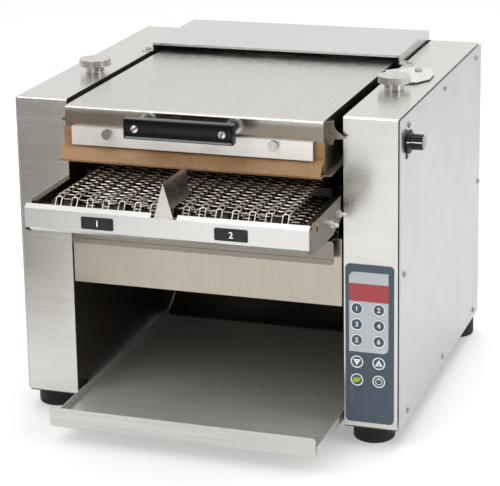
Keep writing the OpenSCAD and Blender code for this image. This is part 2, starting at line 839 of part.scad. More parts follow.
// A sprocket: round body with notches for the cross wires
module belt_sprocket(x, y) {
    teeth = 8;
    tooth_w = 8;
    difference() {
        rod_x([x - tooth_w / 2, y, belt_z], tooth_w, 2 * roller_r);
        for (i = [0:teeth - 1])
            translate([x, y, belt_z]) rotate([i * 360 / teeth, 0, 0])
                rod_x([-tooth_w, roller_r, 0], 2 * tooth_w, 3.2);
    }
}

// Gearmotor on the inner side of the right tower, in line with the drive shaft
motor_x = wall_out_x;
motor_socket = 18;

module gearmotor() {
    color("#4a4d50") difference() {
        union() {
            block([motor_x, drive_y - 32, belt_z - 30], [motor_x + 4, drive_y + 32, belt_z + 22]);
            block([motor_x + 4, drive_y - 26, belt_z - 26], [motor_x + 34, drive_y + 26, belt_z + 18]);
            rod_x([motor_x + 34, drive_y, belt_z - 4], 20, 40);
        }
        rod_x([motor_x - 1, drive_y, belt_z], motor_socket + 2, drive_shaft_d + 2 * running_gap);
    }
}

// Heated plate inside the belt loop, hung from the arms by four lugs
module lower_platen() {
    top_z = belt_top - belt_t - platen_gap;
    color("#8f9092") {
        block([-platen_w / 2, 12, top_z - lower_platen_t], [platen_w / 2, drive_y - 28, top_z]);
        for (side = [LEFT, RIGHT], y = lower_lug_y) on_side(side)
            block([platen_w / 2 - touch, y, top_z - 8], [arm_in_x, y + lug_w, top_z - 5]);
    }
}

// Four rod elements under the lower platen
module lower_heater() {
    rod_z0 = belt_top - belt_t - platen_gap - lower_platen_t - heater_d / 2;
    color("#6d665e") for (y = lower_heater_y)
        rod_x([-platen_w / 2 + 6, y, rod_z0], platen_w - 12, heater_d);
}

// Inverted V that parts the two lanes; its lip hangs on the notch of the front bar
module lane_divider() {
    front_y = -bar_front_y + sheet + 0.2;
    back_y = release_front_y - 2;
    foot_z = bar_face_z + bar_face_h - 2.4;
    divider_top = foot_z + divider_h;
    skirt_z = belt_top + 0.8;
    slope = (divider_w / 2) / (divider_top - foot_z);
    function half_at(z) = slope * (divider_top - z);
    lip_w = 7;
    color(steel) {
        // front face, from the ridge to its foot
        front_outline(front_y, sheet) polygon([
            [0, divider_top], [half_at(foot_z), foot_z], [-half_at(foot_z), foot_z]]);
        // hook that hangs on the bar: down behind its face and over its edge
        block([-lip_w, front_y, bar_face_z + 8], [lip_w, front_y + sheet, foot_z + 2]);
        block([-lip_w, -bar_front_y - 0.3, bar_face_z + bar_face_h],
            [lip_w, front_y + sheet, bar_face_z + bar_face_h + sheet]);
        // the two sloping sides, cut back at the rear
        difference() {
            front_outline(front_y, back_y - front_y) difference() {
                polygon([[0, divider_top], [half_at(skirt_z), skirt_z],
                    [-half_at(skirt_z), skirt_z]]);
                polygon([[0, divider_top - 4.2], [half_at(skirt_z) - sheet, skirt_z - 1],
                    [-half_at(skirt_z) + sheet, skirt_z - 1]]);
            }
            translate([0, back_y, 0]) side_outline(-20, 40)
                polygon([[0.1, divider_top - 2], [0.1, skirt_z - 1], [-15, skirt_z - 1]]);
        }
    }
}

// ---------- upper housing ----------

// Cover of the heated upper platen: top, front, rear and two side walls with tilt-pin holes
module upper_housing() {
    front_z = housing_bottom + 14;
    flange_w = housing_gap - 5;
    color(steel) difference() {
        union() {
            difference() {
                side_outline(-housing_x, housing_w)
                    arched_rectangle([-housing_front_y, housing_bottom],
                        [housing_rear_y, housing_top], fold_r);
                side_outline(-housing_x + sheet, housing_w - 2 * sheet)
                    arched_rectangle([-housing_front_y + sheet, housing_bottom - 10],
                        [housing_rear_y - sheet, housing_top - sheet], fold_r - sheet);
                block([-housing_x + sheet, -housing_front_y - 1, housing_bottom - 1],
                    [housing_x - sheet, -housing_front_y + 5, front_z]);
            }
            for (side = [LEFT, RIGHT]) on_side(side)
                block([housing_x - sheet, -housing_front_y, housing_bottom],
                    [housing_x + flange_w, housing_rear_y, housing_bottom + sheet]);
        }
        for (side = [LEFT, RIGHT]) on_side(side) {
            rod_x([housing_x - 5, tilt_pin_y, tilt_pin_z], 10, tilt_pin_d + 2 * running_gap);
            rod_y([clamp_pin_x, -housing_front_y - 1, clamp_pin_z], 5, clamp_pin_shank_d);
            rod_y([handle_centres / 2, -housing_front_y - 1, handle_z], 5, bush_bore_d);
        }
    }
}

// Heated plate under the upper housing, its nose reaching out under the release sheet
module upper_platen() {
    nose_y = release_front_y + 4.5;
    nose_r = platen_t / 2;
    rear_y = housing_rear_y - 20;
    inner_x = housing_x - sheet - platen_gap;
    color("#8f9092") {
        side_outline(-inner_x, 2 * inner_x) {
            translate([nose_y + nose_r, upper_platen_z]) square([rear_y - nose_y - nose_r, platen_t]);
            translate([nose_y + nose_r, upper_platen_z + nose_r]) circle(r = nose_r);
        }
        for (side = [LEFT, RIGHT], y = upper_lug_y) on_side(side)
            block([inner_x - 8, y, upper_platen_z],
                [housing_x - sheet, y + lug_w, upper_platen_z + 22]);
    }
}

// Four rod elements on the upper platen
module upper_heater() {
    color("#6d665e") for (y = upper_heater_y)
        rod_x([-platen_w / 2 + 16, y, upper_platen_z + platen_t + heater_d / 2],
            platen_w - 32, heater_d);
}

// Release sheet: clamped on the housing's front, bulging out, then back under the platen
module release_sheet() {
    side_lap = 1.5;
    color(brown) difference() {
        union() {
            side_outline(-housing_x - side_lap, housing_w + 2 * side_lap) release_front();
            side_outline(-housing_x + sheet + platen_gap, housing_w - 2 * (sheet + platen_gap))
                sheet_run([-housing_front_y - 3, release_z + release_t / 2],
                    [housing_rear_y - 14, release_z + release_t / 2]);
        }
        for (side = [LEFT, RIGHT])
            rod_y([side * clamp_pin_x, -housing_front_y - 3, clamp_pin_z], 6,
                clamp_pin_shank_d + 2 * pin_gap);
    }
}

// Profile of the release sheet in front of the housing, in (y, z), from its top downwards
module release_front() {
    face_y = -housing_front_y - release_t / 2;
    top = [face_y, clamp_z + clamp_h - 2];
    bend = [face_y, clamp_z + 0.5];
    knee = [face_y - 10.4, clamp_z - 4.6];
    turn = [release_front_y + release_t / 2, release_z + 2.8];
    lower = [release_front_y + 2.4, release_z + release_t / 2];
    tail = [face_y - 0.8, release_z + release_t / 2];
    sheet_run(top, bend);
    sheet_run(bend, knee);
    sheet_run(knee, turn);
    sheet_run(turn, lower);
    sheet_run(lower, tail);
}

// One straight run of the release sheet with round ends, in (y, z)
module sheet_run(from, to) {
    run = to - from;
    translate(from) rotate(atan2(run.y, run.x))
        translate([0, -release_t / 2]) square([norm(run), release_t]);
    for (end = [from, to])
        translate(end) circle(d = release_t);
}

// Bent strip that clamps the release sheet, with two pin holes
module clamp_bar() {
    color("#d9d9d4") difference() {
        side_outline(-clamp_w / 2, clamp_w) {
            translate([clamp_face_y, clamp_z]) square([sheet, clamp_h]);
            translate([clamp_face_y, clamp_z + clamp_h - sheet])
                square([-housing_front_y - clamp_face_y, sheet]);
        }
        for (side = [LEFT, RIGHT])
            rod_y([side * clamp_pin_x, clamp_face_y - 5, clamp_pin_z], 12,
                clamp_pin_shank_d + 2 * pin_gap);
    }
}

// Flat-headed pins that hold the clamp bar
module clamp_pins() {
    head_t = 5.5;
    color(steel) for (side = [LEFT, RIGHT]) {
        rod_y([side * clamp_pin_x, clamp_face_y - head_t, clamp_pin_z], head_t, clamp_pin_d);
        rod_y([side * clamp_pin_x, clamp_face_y - touch, clamp_pin_z],
            -housing_front_y - clamp_face_y + 4, clamp_pin_shank_d);
    }
}

// Handle bar with a bevelled border and two sunk screw seats
handle_bevel = 2.5;
handle_screw_d = 5;
handle_screw_head_d = 8.8;
bush_bore_d = 8;

module handle_bar() {
    low = [-handle_w / 2, handle_z - handle_h / 2];
    high = [handle_w / 2, handle_z + handle_h / 2];
    front_y = -handle_front_y;
    color(black) difference() {
        union() {
            front_outline(front_y + handle_bevel, handle_t - handle_bevel)
                translate(low) square(high - low);
            hull() {
                front_outline(front_y + handle_bevel, 0.1) translate(low) square(high - low);
                front_outline(front_y, 0.1) translate(low + [1, 1] * handle_bevel)
                    square(high - low - [2, 2] * handle_bevel);
            }
        }
        for (side = [LEFT, RIGHT]) {
            rod_y([side * handle_centres / 2, front_y - 1, handle_z], handle_t + 2,
                handle_screw_d + 0.2);
            rod_y([side * handle_centres / 2, front_y - 1, handle_z], 2.5,
                handle_screw_head_d + 0.4);
        }
    }
}

// Black round standoffs between the handle bar and the housing
module handle_standoffs() {
    back_y = standoff_back_y - bushing_flange_t;
    handle_back_y = -handle_front_y + handle_t;
    color(black) for (side = [LEFT, RIGHT]) difference() {
        rod_y([side * handle_centres / 2, handle_back_y, handle_z], back_y - handle_back_y,
            standoff_d);
        rod_y([side * handle_centres / 2, handle_back_y - 1, handle_z],
            back_y - handle_back_y + 2, handle_screw_d + 0.2);
    }
}

// Bright flanged bushings that seat the standoffs in the housing's front
bushing_flange_t = 3;

module handle_bushings() {
    color(steel) for (side = [LEFT, RIGHT]) difference() {
        union() {
            rod_y([side * handle_centres / 2, standoff_back_y - bushing_flange_t, handle_z],
                bushing_flange_t, standoff_d + 6);
            rod_y([side * handle_centres / 2, standoff_back_y - touch, handle_z],
                sheet + 3, bush_bore_d);
        }
        rod_y([side * handle_centres / 2, standoff_back_y - 10, handle_z], 20,
            handle_screw_d + 0.2);
    }
}

// Slotted screws through the bar, the standoffs and the bushings
module handle_screws() {
    head_t = 1.4;
    slot_w = 1.2;
    shank = handle_front_y - housing_front_y + 2;
    color("#9c9c9a") for (side = [LEFT, RIGHT]) difference() {
        union() {
            rod_y([side * handle_centres / 2, -handle_front_y + 0.1, handle_z], head_t,
                handle_screw_head_d);
            rod_y([side * handle_centres / 2, -handle_front_y + 0.2, handle_z], shank,
                handle_screw_d);
        }
        translate([side * handle_centres / 2, -handle_front_y, handle_z]) rotate([0, 20, 0])
            cube([handle_screw_head_d + 2, 1.6, slot_w], center = true);
    }
}

// Pointers on the housing's sides; their tips show the height against the towers
module height_pointers() {
    plate_y = -6;
    root_z = tilt_pin_z - 4;
    color("#b7ab9a") for (side = [LEFT, RIGHT]) on_side(side) {
        front_outline(plate_y, sheet) polygon([
            [housing_x, root_z], [housing_x + 2.5, root_z - 1], [housing_x + 4.5, root_z + 6],
            [bay_x, root_z + 6.6], [bay_x + 5.5, root_z + 8],
            [bay_x - 2, root_z + 13], [housing_x + 5.5, root_z + 17],
            [housing_x + 3.8, root_z + 26], [housing_x, root_z + 26]]);
        block([housing_x, plate_y, root_z + 2], [housing_x + sheet, plate_y + 14, root_z + 24]);
    }
}

// ---------- height adjustment ----------

// Knurled knob with a grooved neck and its lead screw
module height_knob(side) {
    neck_z = body_top + collar_flange_h;
    disc_z = knob_top_z - knob_disc_t;
    knurls = 40;
    color("#c9c6bd") translate([side * lift_screw_x, lift_screw_y, 0]) {
        difference() {
            rod_z([0, 0, disc_z], knob_disc_t, knob_d);
            for (i = [0:knurls - 1])
                rotate(i * 360 / knurls) rod_z([knob_d / 2 + 0.6, 0, disc_z + 1], knob_disc_t - 2, 2);
        }
        difference() {
            rod_z([0, 0, neck_z], disc_z - neck_z + touch, knob_neck_d);
            translate([0, 0, (neck_z + disc_z) / 2 - 0.6]) difference() {
                cylinder(d = knob_neck_d + 2, h = 1.2);
                cylinder(d = knob_neck_d - 2, h = 1.2);
            }
        }
        rod_z([0, 0, screw_foot_z], neck_z - screw_foot_z + touch, lift_screw_d);
    }
}

// Flanged collars that carry the lead screws in the tower tops
module knob_collars() {
    color("#c9c6bd") for (side = [LEFT, RIGHT]) translate([side * lift_screw_x, lift_screw_y, 0])
        difference() {
            union() {
                rod_z([0, 0, body_top], collar_flange_h, knob_neck_d - 1);
                rod_z([0, 0, body_top - 8], 8 + touch, collar_d);
            }
            rod_z([0, 0, body_top - 20], 40, lift_screw_d + 2 * running_gap);
        }
}

// Nut block, bar, rest pin and tilt pin on each side
module lift_brackets() {
    pin_start_x = housing_x - sheet - 3;
    bar_z = tilt_pin_z - 8;
    color("#77756f") for (side = [LEFT, RIGHT]) on_side(side) difference() {
        union() {
            block([bracket_x, lift_screw_y - nut_block_w / 2, nut_block_z],
                [lift_screw_x + nut_block_w / 2, lift_screw_y + nut_block_w / 2,
                    nut_block_z + nut_block_h]);
            block([bracket_x, lift_screw_y - nut_block_w / 2, bar_z],
                [bracket_x + bracket_t, tilt_pin_y + 8, bar_z + 16]);
            block([bracket_x, lift_screw_y - 8, rest_pin_z - 6],
                [bracket_x + bracket_t, lift_screw_y + 8, nut_block_z + 1]);
            rod_x([pin_start_x, tilt_pin_y, tilt_pin_z], bracket_x - pin_start_x + touch, tilt_pin_d);
            rod_x([pin_start_x + 3.2, lift_screw_y, rest_pin_z],
                bracket_x - pin_start_x - 3.2 + touch, rest_pin_d);
        }
        rod_z([lift_screw_x, lift_screw_y, nut_block_z - 5], nut_block_h + 10,
            lift_screw_d + 2 * running_gap);
    }
}

// Swivelling latch plate on the right tower: its front corner turns over the housing's edge
latch_x = bay_x + 28.5;
latch_y = housing_rear_y - 54.2;
latch_reach = latch_x - housing_x - 2.5;
latch_knob_gap = 9.15;
latch_front = latch_y - latch_knob_gap - knob_d / 2 - lift_screw_y;
latch_screw_d = 5;
latch_lift = 1.5;

module latch_plate() {
    plate_z = body_top + latch_lift;
    tips = [[-latch_reach + 19, 1 - latch_front], [2, -latch_front], [11.5, 2.2 - latch_front],
        [23, -0.61 * latch_front], [22, -10], [12, 14], [-6, 17], [-latch_reach + 11, 4],
        [-latch_reach, -7], [-latch_reach + 5, -0.35 * latch_front]];
    color(steel) translate([latch_x, latch_y, plate_z]) difference() {
        linear_extrude(sheet) polygon(tips);
        translate([0, 0, -1]) cylinder(d = latch_screw_d + 2 * running_gap, h = 5);
    }
}

// Screw of the latch plate with its spacer and a socket in the head
module latch_screw() {
    head_z = body_top + latch_lift + sheet + 0.1;
    color("#a8a29a") translate([latch_x, latch_y, 0]) difference() {
        union() {
            rod_z([0, 0, body_top], latch_lift - 0.05, 12);
            rod_z([0, 0, body_top - 10], head_z - body_top + 10, latch_screw_d);
            rod_z([0, 0, head_z], 4, 9.2);
        }
        translate([0, 0, head_z + 1.5]) cylinder(d = 5, h = 5, $fn = 6);
    }
}

// ---------- controls ----------

// Overlay on the right tower's front with a round window for each key
module keypad_overlay() {
    color("#4b5761") difference() {
        front_outline(-keypad_t, keypad_t)
            rounded_rectangle([keypad_x, keypad_z], [keypad_x + keypad_w, keypad_z + keypad_h], 5);
        for (x = key_col_x, z = key_row_z)
            rod_y([x, -keypad_t - 1, z], keypad_t + 2, key_d + 2 * key_gap);
    }
}

// One key, numbered in reading order
module key_disc(row, column) {
    color("#3c464e")
        rod_y([key_col_x[column], -keypad_t - key_proud, key_row_z[row]],
            keypad_t + key_proud - key_travel_gap, key_d);
}

// Circuit board on four posts inside the right tower
post_h = 14;

module control_board() {
    board_size = [1.6, 130, 150];
    low = [wall_out_x + post_h, 60, base_z + 55];
    high = low + board_size;
    color("#2f6b45") {
        block(low, high);
        for (y = [low.y + 8, high.y - 8], z = [low.z + 8, high.z - 8])
            rod_x([wall_out_x, y, z], post_h + touch, 6);
        for (row = [0:2])
            translate([high.x - touch, low.y + 20, low.z + 20 + row * 35]) cube([18, 24, 22]);
        translate([high.x - touch, low.y + 70, low.z + 30]) cube([24, 40, 50]);
    }
}

// Rotary switch behind the side panel, with its bush and the locating tab outside
module dial_switch() {
    tab_w = 7;
    tab_low_z = dial_z - 19.5;
    color(black) difference() {
        union() {
            block([shell_x - 26, dial_y - 14, dial_z - 14],
                [shell_x - sheet, dial_y + 12, dial_z + 14]);
            rod_x([shell_x - sheet - touch, dial_y, dial_z], dial_back_x - shell_x + sheet - 0.8,
                dial_bush_d);
            block([panel_out_x, dial_y - tab_w / 2, tab_low_z],
                [panel_out_x + 1, dial_y + tab_w / 2, dial_z]);
        }
        rod_x([shell_x - 15, dial_y, dial_z], 40, dial_shaft_d + 2 * running_gap);
    }
}

// Side dial: round skirt, ribbed grip and its shaft
module side_dial() {
    grip_d = 17.6;
    skirt_t = 3.5;
    ribs = 16;
    end_x = panel_out_x + dial_reach;
    color(black) translate([0, dial_y, dial_z]) {
        rod_x([dial_back_x, 0, 0], skirt_t, dial_skirt_d);
        difference() {
            rod_x([dial_back_x + skirt_t - touch, 0, 0], end_x - dial_back_x - skirt_t + touch, grip_d);
            for (i = [0:ribs - 1])
                rotate([i * 360 / ribs, 0, 0])
                    rod_x([dial_back_x + skirt_t + 1, grip_d / 2 + 0.5, 0], dial_reach, 2);
        }
        rod_x([shell_x - 14, 0, 0], dial_back_x - shell_x + 14 + touch, dial_shaft_d);
    }
}

in_frame() tower_shell(LEFT);  // tower_shell_left
in_frame() tower_shell(RIGHT);  // tower_shell_right
in_frame() inner_wall(LEFT);  // inner_wall_left
in_frame() inner_wall(RIGHT);  // inner_wall_right
in_frame() side_panel(LEFT);  // side_panel_left
in_frame() side_panel(RIGHT);  // side_panel_right
in_frame() case_screws();
in_frame() base_frame();
in_frame() feet();
in_frame() rear_panel();
in_frame() rear_top_cover();
in_frame() lower_front_plate();
in_frame() return_chute();
in_frame() conveyor_front_bar();
in_frame() conveyor_arm(LEFT);  // conveyor_arm_left
in_frame() conveyor_arm(RIGHT);  // conveyor_arm_right
in_frame() arm_studs();
in_frame() lane_plates();
in_frame() wire_belt();
in_frame() shaft_bushes();
in_frame() gearmotor();
in_frame() lower_platen();
in_frame() lower_heater();
in_frame() knob_collars();
in_frame() latch_screw();
in_frame() keypad_overlay();
in_frame() control_board();
in_frame() cord_gland();
in_frame() dial_switch();
in_frame() landing_tray();
in_frame() crumb_tray();
in_frame() lane_divider();
in_frame() drive_shaft();
in_frame() idler_shaft();
in_frame() upper_housing();
in_frame() upper_platen();
in_frame() upper_heater();
in_frame() release_sheet();
in_frame() clamp_bar();
in_frame() clamp_pins();
in_frame() handle_bar();
in_frame() handle_standoffs();
in_frame() handle_bushings();
in_frame() handle_screws();
in_frame() height_pointers();
in_frame() height_knob(LEFT);  // height_knob_left
in_frame() height_knob(RIGHT);  // height_knob_right
in_frame() lift_brackets();
in_frame() side_dial();
in_frame() latch_plate();
in_frame() key_disc(0, 0);  // key_1
in_frame() key_disc(0, 1);  // key_2
in_frame() key_disc(1, 0);  // key_3
in_frame() key_disc(1, 1);  // key_4
in_frame() key_disc(2, 0);  // key_5
in_frame() key_disc(2, 1);  // key_6
in_frame() key_disc(3, 0);  // key_down
in_frame() key_disc(3, 1);  // key_up
in_frame() key_disc(4, 0);  // key_standby
in_frame() key_disc(4, 1);  // key_power
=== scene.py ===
"""Looks of the conveyor bun toaster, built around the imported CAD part.

Sizes are millimetres from the towers' front face (y), the middle plane (x) and the worktop (z),
and at() turns them into the frame's metres.
"""

import math

import bmesh
import bpy
from mathutils import Matrix, Vector


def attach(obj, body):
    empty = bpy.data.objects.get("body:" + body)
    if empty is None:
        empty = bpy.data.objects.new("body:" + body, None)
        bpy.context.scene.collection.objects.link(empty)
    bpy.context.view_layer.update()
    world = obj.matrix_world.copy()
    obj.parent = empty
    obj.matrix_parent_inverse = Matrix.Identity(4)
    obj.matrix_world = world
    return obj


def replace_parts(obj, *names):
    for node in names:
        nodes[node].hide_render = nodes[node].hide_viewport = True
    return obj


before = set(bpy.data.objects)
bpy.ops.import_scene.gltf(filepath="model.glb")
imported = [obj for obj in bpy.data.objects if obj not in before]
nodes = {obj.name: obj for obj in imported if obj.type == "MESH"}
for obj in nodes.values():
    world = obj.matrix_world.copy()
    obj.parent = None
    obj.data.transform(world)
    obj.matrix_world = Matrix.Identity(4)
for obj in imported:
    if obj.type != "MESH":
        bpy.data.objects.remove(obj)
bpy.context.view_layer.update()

MM = 0.001
MIDDLE_X = 9.3  # the frame's origin, seen from the middle plane and the towers' front face
MIDDLE_Y = 152.2

BODY_TOP = 387.0
BELT_TOP = 303.5
BELT_TURN_R = 16.0
BELT_Z = BELT_TOP - BELT_TURN_R
BELT_FRONT_Y = -97.0
BELT_REAR_Y = 262.0
BELT_HALF_W = 150.0
KEYPAD_FACE_Y = -1.4
KEY_FACE_Y = -1.7
KEY_X = (180.4, 205.8)
KEY_Z = (167.0, 148.3, 129.5, 103.6, 82.0)
INK = 0.12  # prints stand this proud, thicker than real ink, so that they never flicker
THIN_INK = 0.05


def at(x, y, z):
    """A point given in millimetres from the towers' front face, in the frame's metres."""
    return Vector(((x - MIDDLE_X) * MM, (y - MIDDLE_Y) * MM, z * MM))


# ---------- materials ----------


def linear(code):
    """Linear colour of an sRGB hex code such as "c8c4bb"."""
    parts = [int(code[i : i + 2], 16) / 255 for i in (0, 2, 4)]
    values = [c / 12.92 if c <= 0.04045 else ((c + 0.055) / 1.055) ** 2.4 for c in parts]
    return (*values, 1.0)


def toned(code, factor):
    """The linear colour of a hex code, made lighter or darker."""
    return tuple(min(1.0, c * factor) for c in linear(code)[:3]) + (1.0,)


def add(tree, kind, links=None, **settings):
    """Adds a node. Settings name its properties; links name its inputs, with a value or a socket."""
    made = tree.nodes.new(kind)
    for key, value in settings.items():
        setattr(made, key, value)
    for key, value in (links or {}).items():
        socket = made.inputs[key]
        if isinstance(value, bpy.types.NodeSocket):
            tree.links.new(value, socket)
        else:
            socket.default_value = value
    return made


def new_material(name):
    """An empty node material and its Principled shader."""
    material = bpy.data.materials.new(name)
    material.use_nodes = True
    tree = material.node_tree
    shader = next(n for n in tree.nodes if n.type == "BSDF_PRINCIPLED")
    return material, tree, shader


def marks(tree, size_mm, detail=3.0, gain=0.55):
    """A pattern from 0 to 1 whose marks have a real size in millimetres along x, y and z."""
    where = add(tree, "ShaderNodeTexCoord").outputs["Object"]
    sized = add(
        tree,
        "ShaderNodeMapping",
        {"Vector": where, "Scale": tuple(1000 / size for size in size_mm)},
    ).outputs[0]
    return add(
        tree,
        "ShaderNodeTexNoise",
        {"Vector": sized, "Scale": 1.0, "Detail": detail, "Roughness": gain},
    ).outputs["Fac"]


# A scratch of the grinding belt is some 0.2 mm wide, drawn 1.5 mm wide as finer ones don't show.
# The grain's direction is a little askew, so that no flat face stands square to it.
SCRATCH = 1.5
LONG = 90
GRAINS = {
    "across": ((LONG, SCRATCH, SCRATCH), (1, 0.03, 0.05)),
    "upright": ((SCRATCH, LONG, LONG), (0.03, 0.02, 1)),
    "upright_side": ((LONG, SCRATCH, LONG), (0.02, 0.03, 1)),
    "along": ((SCRATCH, LONG, SCRATCH), (0.02, 1, 0.03)),
}


def brushed_steel(
    name, code, rough, grain, spread=0.7, fog=0.0, contrast=1.0, wear=0.0, heat=0
):
    """Stainless sheet ground with a belt: parallel scratches that stretch every reflection
    across the grain, cloudy wiped patches, a sheet that isn't quite flat, and a painted highlight
    that makes folds paler.
    Fog is the share of dull, hazy metal; wear is the share of brown scorch stain; below the
    height of the last argument, in millimetres, the sheet is painted a darker straw brown all over: a
    painted shade."""
    material, tree, shader = new_material(name)
    size, direction = GRAINS[grain]
    scratches = marks(tree, size, 2.0, 0.5)
    facing = add(tree, "ShaderNodeNewGeometry").outputs["True Normal"]
    folded = add(tree, "ShaderNodeBevel", {"Radius": 0.0004}, samples=4).outputs[0]
    flatness = add(
        tree, "ShaderNodeVectorMath", {0: folded, 1: facing}, operation="DOT_PRODUCT"
    ).outputs["Value"]
    # painted highlight: where the bevel finds a fold, the colour is mixed toward a paler tone
    wear_and_fold_highlight = add(tree, "ShaderNodeMapRange", {0: flatness, 1: 0.97, 2: 0.8, 4: 0.3}).outputs[0]
    bands = marks(tree, tuple(max(s * 7, 60 if s > 10 else 0) for s in size), 2.0)
    wiped = marks(tree, (70, 70, 70), 4.0, 0.6)
    dents = marks(tree, (90, 90, 90), 0.0)
    lined = add(tree, "ShaderNodeMapRange", {0: scratches, 1: 0.28, 2: 0.72}).outputs[0]
    body = add(
        tree,
        "ShaderNodeMix",
        {0: lined, 6: toned(code, 1 - 0.07 * contrast), 7: toned(code, 1 + 0.06 * contrast)},
        data_type="RGBA",
    ).outputs[2]
    banded = add(tree, "ShaderNodeMapRange", {0: bands, 1: 0.4, 2: 0.7, 4: 0.28 * contrast})
    body = add(
        tree,
        "ShaderNodeMix",
        {0: banded.outputs[0], 6: body, 7: toned(code, 0.9)},
        data_type="RGBA",
    ).outputs[2]
    if wear:
        stain = marks(tree, (38, 38, 38), 5.0, 0.7)
        stained = add(tree, "ShaderNodeMapRange", {0: stain, 1: 0.46, 2: 0.72, 4: wear})
        body = add(
            tree,
            "ShaderNodeMix",
            {0: stained.outputs[0], 6: body, 7: linear("5b4632")},
            data_type="RGBA",
        ).outputs[2]
    # painted shade: below the given height the whole sheet is mixed toward a darker straw brown
    if heat:
        where = add(tree, "ShaderNodeTexCoord").outputs["Object"]
        height = add(tree, "ShaderNodeSeparateXYZ", {0: where}).outputs["Z"]
        tinted = add(
            tree,
            "ShaderNodeMapRange",
            {0: height, 1: heat * MM, 2: (heat - 6) * MM, 4: 0.9},
        ).outputs[0]
        body = add(
            tree, "ShaderNodeMix", {0: tinted, 6: body, 7: linear("8a8072")}, data_type="RGBA"
        ).outputs[2]
    # painted highlight on the folds
    body = add(
        tree, "ShaderNodeMix", {0: wear_and_fold_highlight, 6: body, 7: toned(code, 1.15)}, data_type="RGBA"
    ).outputs[2]
    tree.links.new(body, shader.inputs["Base Color"])
    shader.inputs["Metallic"].default_value = 1.0 - fog
    shader.inputs["Anisotropic"].default_value = spread
    dull = add(
        tree, "ShaderNodeMapRange", {0: wiped, 1: 0.3, 2: 0.75, 3: rough * 0.84, 4: rough * 1.2}
    ).outputs[0]
    combed = add(
        tree, "ShaderNodeMapRange", {0: scratches, 1: 0.3, 2: 0.7, 3: -0.012, 4: 0.012}
    ).outputs[0]
    dull = add(tree, "ShaderNodeMath", {0: dull, 1: combed}, operation="ADD").outputs[0]
    tree.links.new(dull, shader.inputs["Roughness"])
    across = add(
        tree, "ShaderNodeVectorMath", {0: facing, 1: direction}, operation="CROSS_PRODUCT"
    ).outputs[0]
    tree.links.new(across, shader.inputs["Tangent"])
    relief = add(
        tree,
        "ShaderNodeBump",
        {"Height": dents, "Strength": 0.1, "Distance": 0.0002, "Normal": folded},
    ).outputs[0]
    tree.links.new(relief, shader.inputs["Normal"])
    return material


def worked_metal(
    name, code, rough, dullness=0.2, texture=0.25, grit=0.5, recess=False, neck=0, fog=0.0
):
    """Turned, cast, plated or drawn metal: pitted in fine grit, with dull and bright patches.
    A driver's recess is painted dark where the mesh says so: a painted shade. Below the height of
    its neck, in millimetres, a knob is turned smooth. Fog is the share of dull, hazy metal."""
    material, tree, shader = new_material(name)
    pits = marks(tree, (grit, grit, grit))
    patches = marks(tree, (7, 7, 7))
    patchy = add(tree, "ShaderNodeMapRange", {0: patches, 1: 0.4, 2: 0.72}).outputs[0]
    pitted = add(tree, "ShaderNodeMapRange", {0: pits, 1: 0.35, 2: 0.65, 4: texture}).outputs[0]
    if neck:
        where = add(tree, "ShaderNodeTexCoord").outputs["Object"]
        height = add(tree, "ShaderNodeSeparateXYZ", {0: where}).outputs["Z"]
        cast = add(
            tree, "ShaderNodeMath", {0: height, 1: neck * MM}, operation="GREATER_THAN"
        ).outputs[0]
        patchy = add(tree, "ShaderNodeMath", {0: patchy, 1: cast}, operation="MULTIPLY").outputs[0]
        pitted = add(tree, "ShaderNodeMath", {0: pitted, 1: cast}, operation="MULTIPLY").outputs[0]
        pits = add(tree, "ShaderNodeMath", {0: pits, 1: cast}, operation="MULTIPLY").outputs[0]
    body = add(
        tree,
        "ShaderNodeMix",
        {0: patchy, 6: toned(code, 1.05), 7: toned(code, 0.95 - dullness)},
        data_type="RGBA",
    ).outputs[2]
    body = add(
        tree, "ShaderNodeMix", {0: pitted, 6: body, 7: toned(code, 0.6)}, data_type="RGBA"
    ).outputs[2]
    # painted shade: the recess is mixed toward a near-black tone
    if recess:
        depth = add(tree, "ShaderNodeAttribute", attribute_name="recess").outputs["Fac"]
        body = add(
            tree, "ShaderNodeMix", {0: depth, 6: body, 7: toned(code, 0.12)}, data_type="RGBA"
        ).outputs[2]
    tree.links.new(body, shader.inputs["Base Color"])
    shader.inputs["Metallic"].default_value = 1.0 - fog
    sheen = add(tree, "ShaderNodeMapRange", {0: patchy, 3: rough * 0.8, 4: rough * 1.3}).outputs[0]
    tree.links.new(sheen, shader.inputs["Roughness"])
    rounded = add(tree, "ShaderNodeBevel", {"Radius": 0.0003}, samples=4).outputs[0]
    relief = add(
        tree,
        "ShaderNodeBump",
        {"Height": pits, "Strength": texture, "Distance": 0.00006, "Normal": rounded},
    ).outputs[0]
    tree.links.new(relief, shader.inputs["Normal"])
    return material


